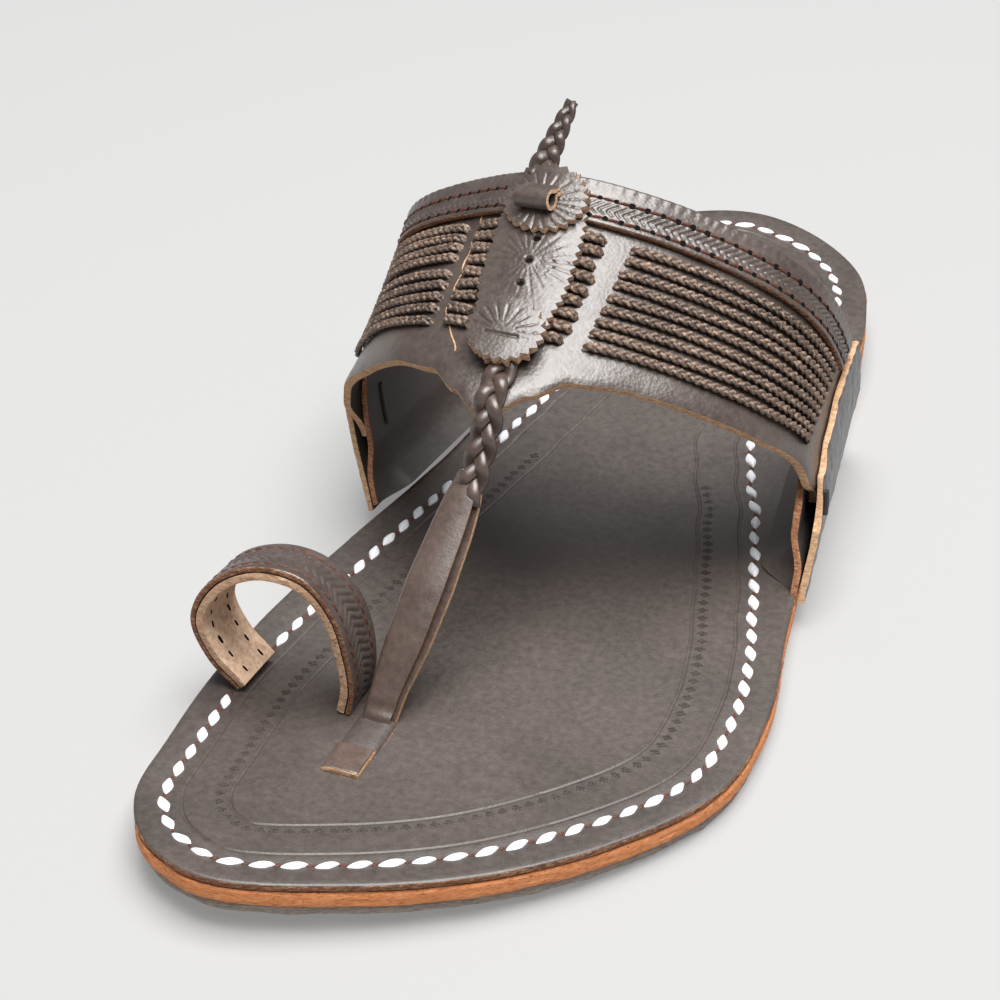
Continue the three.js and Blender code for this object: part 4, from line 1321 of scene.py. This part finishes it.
def cut_out(name, outline, spine, lift, relief, finishes, slot_nodes, wall=APPLIQUE_WALL):
    """A toothed cut-out on the crown. Its rings shrink from the outline to a short spine, and relief
    gives the struck pattern's depth at flat points."""
    heart = np.stack([np.clip(outline[:, 0], *spine), np.zeros(len(outline))], -1)
    shares = [1.0, 0.985, 0.95, 0.92] + list(np.linspace(0.88, 0.04, 30))
    size = len(outline)
    points = []
    for share in shares:
        flat = heart + (outline - heart) * share
        eased = 0.12 if share == 1 else 0
        points.append(on_arch(*crown_patch(flat), lift + wall - relief(flat, share) - eased)[0])
    points.append(on_arch(*crown_patch(heart), lift + wall - relief(heart, 0))[0])
    sides = [on_arch(*crown_patch(outline * 1.0), lift + wall * k)[0] for k in (0.6, 0.25, 0.0)]
    half_way = heart + (outline - heart) * 0.5
    under = [on_arch(*crown_patch(flat), lift)[0] for flat in (half_way, heart)]
    rings = list(reversed(points)) + sides + under
    finish_of_ring = [0] * (len(points) - 1) + [1] * 3 + [0] * (len(rings) - len(points) - 3)
    faces = []
    finish_of_face = []
    for k in range(len(rings) - 1):
        for i in range(size):
            j = (i + 1) % size
            faces.append((k * size + i, k * size + j, (k + 1) * size + j, (k + 1) * size + i))
            finish_of_face.append(finish_of_ring[k])
    piece = mesh_piece(name, np.vstack(rings), faces, finishes, finish_of_face, 50)
    shape = bmesh.new()
    shape.from_mesh(piece.data)
    bmesh.ops.remove_doubles(shape, verts=shape.verts, dist=0.003 * MM)
    bmesh.ops.recalc_face_normals(shape, faces=shape.faces)
    shape.to_mesh(piece.data)
    shape.free()
    piece.data.polygons.foreach_set("use_smooth", [True] * len(piece.data.polygons))
    return fit(piece, "dark_leather", *slot_nodes)


def rays(flat, centre, count, start, end, depth, seed=0.0):
    """Struck lines that fan out from a centre."""
    away = flat - np.asarray(centre)
    reach = np.linalg.norm(away, axis=-1)
    angle = np.arctan2(away[..., 1], away[..., 0])
    line = np.clip(np.cos(angle * count + seed), 0, 1) ** 3
    return depth * line * smoothstep(start, start + 0.8, reach) * smoothstep(end, end - 1.5, reach)


def punched(flat, centre, radius, depth):
    reach = np.linalg.norm(flat - np.asarray(centre), axis=-1)
    swollen = 0.08 * np.exp(-(((reach - radius * 1.4) / 0.3) ** 2))
    return depth * smoothstep(radius, radius * 0.6, reach) - swollen


leaf_along = np.linspace(0.8, 1.035 * CROWN_LENGTH, 160)
leaf_wide = leaf_half(leaf_along / CROWN_LENGTH)
leaf_half_outline = np.stack([leaf_along, leaf_wide], -1)
leaf_outline = np.vstack([leaf_half_outline, (leaf_half_outline * (1, -1))[::-1]])
LEAF_HOLES = ((17.9, 0.8), (23.5, 0.5), (29.3, 0.2))


def flat_in_space(flat):
    return np.concatenate([flat, flat[..., :1]], -1)


def leaf_relief(flat, share):
    fainter_ahead = 1 - 0.6 * smoothstep(25, 29, flat[..., 0])
    struck = rays(flat, LEAF_HOLES[1], count=22, start=1.2, end=9.0, depth=0.20) * fainter_ahead
    holes = sum(punched(flat, hole_at, radius=0.85, depth=0.95) for hole_at in LEAF_HOLES)
    return struck + holes - 0.12 * wavy(flat_in_space(flat), 8, 41)


tooth_edge = cut_edge(
    "tooth_edge", (0.20, 0.09, 0.05), (0.60, 0.36, 0.22), (0.85, 0.63, 0.45), fibre_mm=0.4, layers=3,
)
# Near-black dishes sit in the leaf's punched holes: painted shade inside the holes.
hole_flat = np.array(LEAF_HOLES)
hole_at, hole_ahead, _, hole_up = on_arch(*crown_patch(hole_flat), LEAF_LIFT + APPLIQUE_WALL - 0.55)
leaf_hole = small_dish("leaf_hole", radius=0.75, rim_height=0.03, sides=10)
fit(
    lay(
        "leaf_holes", leaf_hole, hole_at, hole_ahead, hole_up, shade_and_black_thread_finish, size=1, size_spread=0.1,
        turn_spread=0.5, seed=18,
    ),
    "dark_leather",
)
cut_out(
    "leaf", pinked(leaf_outline), (10, 38), LEAF_LIFT, leaf_relief, [band_leather, tooth_edge],
    ["applique_leaf"],
)

ROSETTES = {"top": {"at": 8.5, "radius": 8.4}, "bottom": {"at": 41.4, "radius": 7.6}}


def rosette_outline(rosette, wide=1.0):
    angle = np.linspace(0, 2 * math.pi, 200, endpoint=False)
    along = rosette["at"] + rosette["radius"] * np.cos(angle)
    return np.stack([along, wide * rosette["radius"] * np.sin(angle)], -1)


def top_relief(flat, share):
    centre = (ROSETTES["top"]["at"] + 1.5, 0)
    return rays(flat, centre, count=20, start=2.4, end=8.2, depth=0.22) - 0.1 * share**6


def bottom_relief(flat, share):
    centre = (ROSETTES["bottom"]["at"] + 1.0, 0)
    behind = smoothstep(2.5, -1.5, flat[..., 0] - centre[0])
    bar = 0.35 * np.exp(-(((flat[..., 0] - centre[0] - 0.6) / 0.35) ** 2)) * (np.abs(flat[..., 1]) < 3.2)
    struck = rays(flat, centre, count=18, start=2.2, end=7.2, depth=0.20) * behind
    return struck + bar + 0.06 * wavy(flat_in_space(flat), 6, 43)


for which, relief in (("top", top_relief), ("bottom", bottom_relief)):
    rosette = ROSETTES[which]
    outline = pinked(rosette_outline(rosette, 0.95))
    spine = (rosette["at"] - 0.3, rosette["at"] + 0.3)
    cut_out(
        f"rosette_{which}", outline, spine, ROSETTE_LIFT, relief, [band_leather, tooth_edge],
        [f"applique_rosette_{which}"],
    )

# ---- Rolled loop and braided tip --------------------------------------------------------------------
# A strip of hide is drawn up through the top rosette and rolled over, with its raw sides to the left
# and right. Behind it the braided end of the lacing stands up past the crown.
ROLL = {"radius": 1.75, "half": 4.0, "thick": 0.85, "at": 10.4, "lift": 3.7}
roll_share, roll_row = crown_patch(np.array([[ROLL["at"], 0.0]]))
roll_lift = ROSETTE_LIFT + ROLL["lift"] - 0.6
roll_at, roll_across, roll_ahead, roll_up = (v[0] for v in on_arch(roll_share, roll_row, roll_lift))
curl = np.linspace(math.radians(-150), math.radians(150), 28)
curl_reach = ROLL["radius"] * (1 + 0.10 * np.cos(curl))
curl_path = np.stack([-np.cos(curl) * curl_reach, np.sin(curl) * curl_reach], -1)
curl_path = np.vstack([curl_path, curl_path[-1] + [[0.9, -0.9], [2.0, -1.4]]])
ends = curl_path[0] + np.array([[1.6, -0.9], [0.7, -0.3]])
curl_path = np.vstack([ends, curl_path])
curl_points = roll_at + curl_path[:, :1] * roll_ahead + curl_path[:, 1:] * roll_up
section_across = np.linspace(-1, 1, 5)
flat_section = np.array([(x, -1) for x in section_across] + [(x, 1) for x in section_across[::-1]])
roll_section = flat_section * (ROLL["half"], ROLL["thick"] / 2)
roll_sides = np.broadcast_to(roll_across, curl_points.shape)
rolled = sweep(
    "rolled_strip", curl_points, roll_sides, [roll_section] * len(curl_points),
    [band_leather, tooth_edge], [0, 0, 0, 0, 1, 0, 0, 0, 0, 1],
)
fit(rolled, "dark_leather", "rolled_loop")

TIP = (
    (135, -14.6, 85), (133, -14.4, 87.2), (130.5, -14.0, 89.2), (127.5, -13.4, 91.8), (124, -12.7, 94.6),
    (121.4, -12.25, 96.6),
)
TIP_PLAIT = {"Strand": 1.5, "Flat": 0.6, "Swing": 1.6, "Rise": 0.85, "Pitch": 11.0}
strand_hide = leather(
    "strand_hide", (0.040, 0.026, 0.021), (0.075, 0.050, 0.040), grain_mm=0.5, grain_depth=0.05,
    rough=(0.32, 0.5), dust=0.25, crinkle=0.05,
)
tip_rows = np.array(TIP)
tip_line = curve_through(shoe(tip_rows[:, 0], tip_rows[:, 1], tip_rows[:, 2]))(np.linspace(0, 1, 90))
tip_forward = unit(np.gradient(tip_line, axis=0))
tip_side = unit(np.cross(tip_forward, np.cross((1.0, 0, 0), tip_forward)))
tip_size = 1.12 - 0.66 * np.linspace(0, 1, 90) ** 1.2
tip_off = np.cross(tip_forward, tip_side)
tip_braid = plait(
    "tip_braid", tip_line, tip_side, tip_off, strand_hide, size=tip_size, start=2.0, settings=TIP_PLAIT,
)
fit(tip_braid, "dark_leather", "braided_tip")

# ---- Toe strap --------------------------------------------------------------------------------------
# A strap that runs from under the leaf to the sole between the first two toes. Its upper end is slit
# and plaited; below, the strap is folded lengthwise, with the raw edges of both panels to the outside.
STRAP_BRAID = ((184.8, -8.0, 58.6), (187.3, -8.6, 52.6), (190.0, -9.4, 46.8), (192.5, -10.3, 42.4))
BRAID_ON_BAND = ((0.90, 0.3), (1.0, 0.9), (1.1, 1.6), (1.2, 1.7))  # share of the way forward, and lift
STRAP_PLAIT = {"Strand": 1.45, "Flat": 0.50, "Swing": 1.8, "Rise": 0.9, "Pitch": 17.0}
STRAP_FOLD = {
    "place": ((188.5, -10.0, 46.8), (192, -10.6, 42.8), (196, -11.3, 38.5), (205, -12.9, 30),
              (213, -14.6, 21.5), (219, -16.4, 14), (223.2, -17.3, 8.2)),
    "half": (2.4, 3.6, 4.2, 4.9, 4.7, 3.9, 3.5),
    "thick": (1.4, 1.9, 2.2, 2.4, 2.0, 1.4, 1.1),
}
SHEET = 1.15
BRAID_ASIDE = 0.17  # of a row, towards the outer side


def line_through(rows, count):
    rows = np.array(rows, float)
    return curve_through(shoe(rows[:, 0], rows[:, 1], rows[:, 2]))(np.linspace(0, 1, count))


on_band = [on_arch(share, CROWN_ROW + BRAID_ASIDE, lift)[0] for share, lift in BRAID_ON_BAND]
below = np.array(STRAP_BRAID)
braid_points = np.vstack([*on_band, shoe(below[:, 0], below[:, 1], below[:, 2])])
braid_line = curve_through(braid_points)(np.linspace(0, 1, 150))
braid_forward = unit(np.gradient(braid_line, axis=0))
braid_off = unit(np.cross(braid_forward, (1.0, 0, 0)))
braid_side = np.cross(braid_off, braid_forward)
glossy_hide = leather(
    "glossy_hide", (0.066, 0.042, 0.033), (0.105, 0.070, 0.056), grain_mm=0.6, grain_depth=0.025,
    rough=(0.30, 0.42), dust=0.05, crinkle=0.02,
)
fit(
    plait(
        "strap_braid", braid_line, braid_side, braid_off, glossy_hide, size=1.0, start=3.0,
        settings=STRAP_PLAIT,
    ),
    "dark_leather",
)

fold_count = 120
fold_line = line_through(STRAP_FOLD["place"], fold_count)
fold_at = np.linspace(0, 1, fold_count)
fold_half = np.interp(fold_at, np.linspace(0, 1, 7), STRAP_FOLD["half"])
fold_thick = np.interp(fold_at, np.linspace(0, 1, 7), STRAP_FOLD["thick"])
bend = np.radians(np.linspace(90, 270, 11))
sections = []
for k in range(fold_count):
    half, gap = fold_half[k], max(0.62, 0.8 * fold_thick[k] - SHEET / 2)
    by_the_sole = smoothstep(0.86, 0.97, fold_at[k]) * smoothstep(1.0, 0.97, fold_at[k])
    pucker = 0.22 * math.sin(fold_at[k] * 60) * by_the_sole
    bow = np.linspace(1, 0, 9)[:, None]
    front_off = gap + 0.35 * np.sin(bow * math.pi) + pucker
    front_panel = np.hstack([half * (0.62 * bow - 0.72 * (1 - bow)), front_off])
    turn = np.stack([-0.72 * half + np.cos(bend) * gap * 0.9, np.sin(bend) * gap], -1)
    back_panel = np.hstack([half * (0.86 * (1 - bow) - 0.72 * bow), -gap - 0.15 * np.sin(bow * math.pi)])
    middle = np.vstack([front_panel, turn[1:-1], back_panel])
    tangent = unit(np.gradient(middle, axis=0))
    across = np.stack([tangent[:, 1], -tangent[:, 0]], -1) * SHEET / 2
    sections.append(np.vstack([middle + across, (middle - across)[::-1]]))
edges = [0] * len(sections[0])
edges[len(sections[0]) // 2 - 1] = 1
edges[-1] = 1
fold_side = np.broadcast_to((1.0, 0, 0), fold_line.shape)
fold = sweep("toe_strap_fold", fold_line, fold_side, sections, [glossy_hide, raw_edge], edges)
fit(fold, "dark_leather")

# ---- Bridge and strap end ---------------------------------------------------------------------------
# The strap goes down through a slit, passes under a bridge of the insole and comes up again, where its
# last few millimetres lie on the insole with a raw tan side.
BRIDGE = {"along": (222.3, 234.0), "across": (-21.8, -13.6), "rise": 1.15}
TAB = {"along": (233.0, 241.2), "across": (-21.6, -14.0), "rise": 1.45}
TOE_SKEW = 0.02  # the slits lie a little askew: millimetres across for each millimetre along


def lying_patch(name, patch, crown, finishes, nodes, slot, low_end):
    """A patch that lies on the insole; its middle stands up by its rise and low_end shapes its ends."""

    def surface(a, b):
        along = patch["along"][0] + a * (patch["along"][1] - patch["along"][0])
        across = patch["across"][0] + b * (patch["across"][1] - patch["across"][0])
        across = across - TOE_SKEW * (along - 222)
        return shoe(along, across, insole_top(along))

    def height(a, b, p):
        return 0.05 + patch["rise"] * low_end(a) * (1 - crown * (2 * b - 1) ** 4) + 0.06 * wavy(p, 5, 51)

    axis = {"across": -18, "up": -50}
    piece = sheet(
        name, surface, -0.3, height, (40, 36), finishes, axis=axis, rough=0.08, seed=121, smooth_to=50,
    )
    fit(piece, slot, *nodes)


lying_patch("strap_bridge", BRIDGE, 0.9, [insole_leather, flesh_side, dyed_edge], [], "dark_leather",
            lambda a: 1.0 - 0.25 * np.abs(2 * a - 1) ** 3)
lying_patch("strap_tab", TAB, 0.25, [glossy_hide, flesh_side, raw_edge], ["toe_strap_end"], "dark_leather",
            lambda a: 1.0 - 0.2 * a**2)

# ---- Toe ring ---------------------------------------------------------------------------------------
# A ring for the big toe, of dark tooled hide over a thick undyed lining. Two rows of thread hold them
# together, brown outside and black inside, and both feet go down through the insole.
TOE_AXIS = {"across": -38, "up": 22}
RING = {
    "front": ((-48, 8.4), (-54, 15), (-57, 24), (-52, 34), (-42, 40),
              (-32, 39), (-26, 32), (-23.2, 22), (-22.4, 14), (-23.4, 8.4)),
    "rear": ((-47, 8.4), (-52.5, 15), (-55.5, 24), (-51, 33), (-42, 37.5),
             (-33, 37), (-26, 31), (-22.8, 22), (-22.4, 14), (-23.4, 8.4)),
    "along": (211, 223), "outer_wall": 1.15, "lining_to": 3.0, "joint": 0.15, "thread_rows": (0.17, 0.83),
}


def ring_line(key, along):
    rows = np.array(RING[key], float)
    return curve_through(shoe(np.full(len(rows), along), rows[:, 0], rows[:, 1]))


ring_rear, ring_front = ring_line("rear", RING["along"][0]), ring_line("front", RING["along"][1])


def ring_at(a, b):
    b = np.asarray(b, float)[..., None]
    return ring_rear(a) * (1 - b) + ring_front(a) * b


def ring_outer(a, b, points):
    run = run_along(points[:, points.shape[1] // 2])[:, None] * np.ones(b.shape)
    low, high = RING["thread_rows"]
    tooling = herringbone(run, np.clip((b - low - 0.07) / (high - low - 0.14), 0, 1), pitch=1.9, depth=0.3)
    threads = sum(0.15 * np.exp(-(((b - row) / 0.05) ** 2)) for row in RING["thread_rows"])
    return tooling - threads + 0.05 * wavy(points, 7, 61)


ring_upper = sheet(
    "toe_ring_upper", ring_at, -RING["outer_wall"], ring_outer, (420, 34),
    [band_leather, flesh_side, dyed_edge], axis=TOE_AXIS, rough=0.07, seed=131, smooth_to=60,
)
fit(ring_upper, "dark_leather", "toe_ring")
lining = Recipe("ring_lining")
lining_fibres = lining.noise(1.2, 6, None, 0.7)
lining_colour = lining.ramp(
    lining_fibres, (0.3, (0.46, 0.30, 0.20)), (0.5, (0.72, 0.50, 0.35)), (0.7, (0.88, 0.68, 0.52)),
)
lining_suede = lining.done(lining_colour, 0.85, lining.bump(lining_fibres, 0.15, 0.7), 0.2)
lining_top = -RING["outer_wall"] - RING["joint"]
ring_lining = sheet(
    "toe_ring_lining", ring_at, -RING["lining_to"], lambda a, b, p: lining_top + 0 * a, (200, 12),
    [flesh_side, lining_suede, tooth_edge], axis=TOE_AXIS, rough=0.14, seed=141,
)
fit(ring_lining, "raw_leather")


LINING_ROWS = (0.25, 0.75)


def ring_marks(wide, pitch, offset, start, end):
    """Places along the ring's face, with their directions."""
    fine = np.linspace(0.005, 0.995, 1500)
    run = run_along(ring_at(fine, np.full(1500, wide)))
    marks = np.interp(np.arange(start * run[-1], end * run[-1], pitch), run, fine)
    level = np.full(marks.shape, wide)
    step = 0.003
    here = ring_at(marks, level)
    ahead = unit(ring_at(marks + step, level) - ring_at(marks - step, level))
    wise = unit(ring_at(marks, level + 0.1) - here)
    up = away_from(TOE_AXIS, here, unit(np.cross(ahead, wise)))
    return here + up * offset, ahead, up


outer_rows = [ring_marks(wide, pitch=2.7, offset=-0.13, start=0.03, end=0.97) for wide in RING["thread_rows"]]
outer_marks = [np.vstack(v) for v in zip(*outer_rows)]
fit(
    lay(
        "ring_threads", thread_pad, *outer_marks, brown_thread, size=0.85, size_spread=0.1, turn_spread=0.1,
        seed=16,
    ),
    "dark_thread",
)
lining_face = -RING["lining_to"]
inner_rows = [ring_marks(wide, pitch=4.4, offset=lining_face, start=0.02, end=0.9) for wide in LINING_ROWS]
inside_at, inside_ahead, inside_up = (np.vstack(v) for v in zip(*inner_rows))
lining_pad = small_pad(
    "lining_pad", length=2.3, width=0.6, puff=0.18, lean=0.2, sink=0.3, steps=(6, 4), point=4,
)
lining_threads = lay(
    "lining_threads", lining_pad, inside_at, inside_ahead, -inside_up, shade_and_black_thread_finish, size=1, size_spread=0.2,
    turn_spread=0.2, seed=17,
)
fit(lining_threads, "dark_thread")
# The single stitches, dots and painted hole shades have all been laid as copies, so the patterns go.
for small in (lace_pad, link_pad, dot, thread_pad, hole, leaf_hole, lining_pad):
    bpy.data.objects.remove(small)
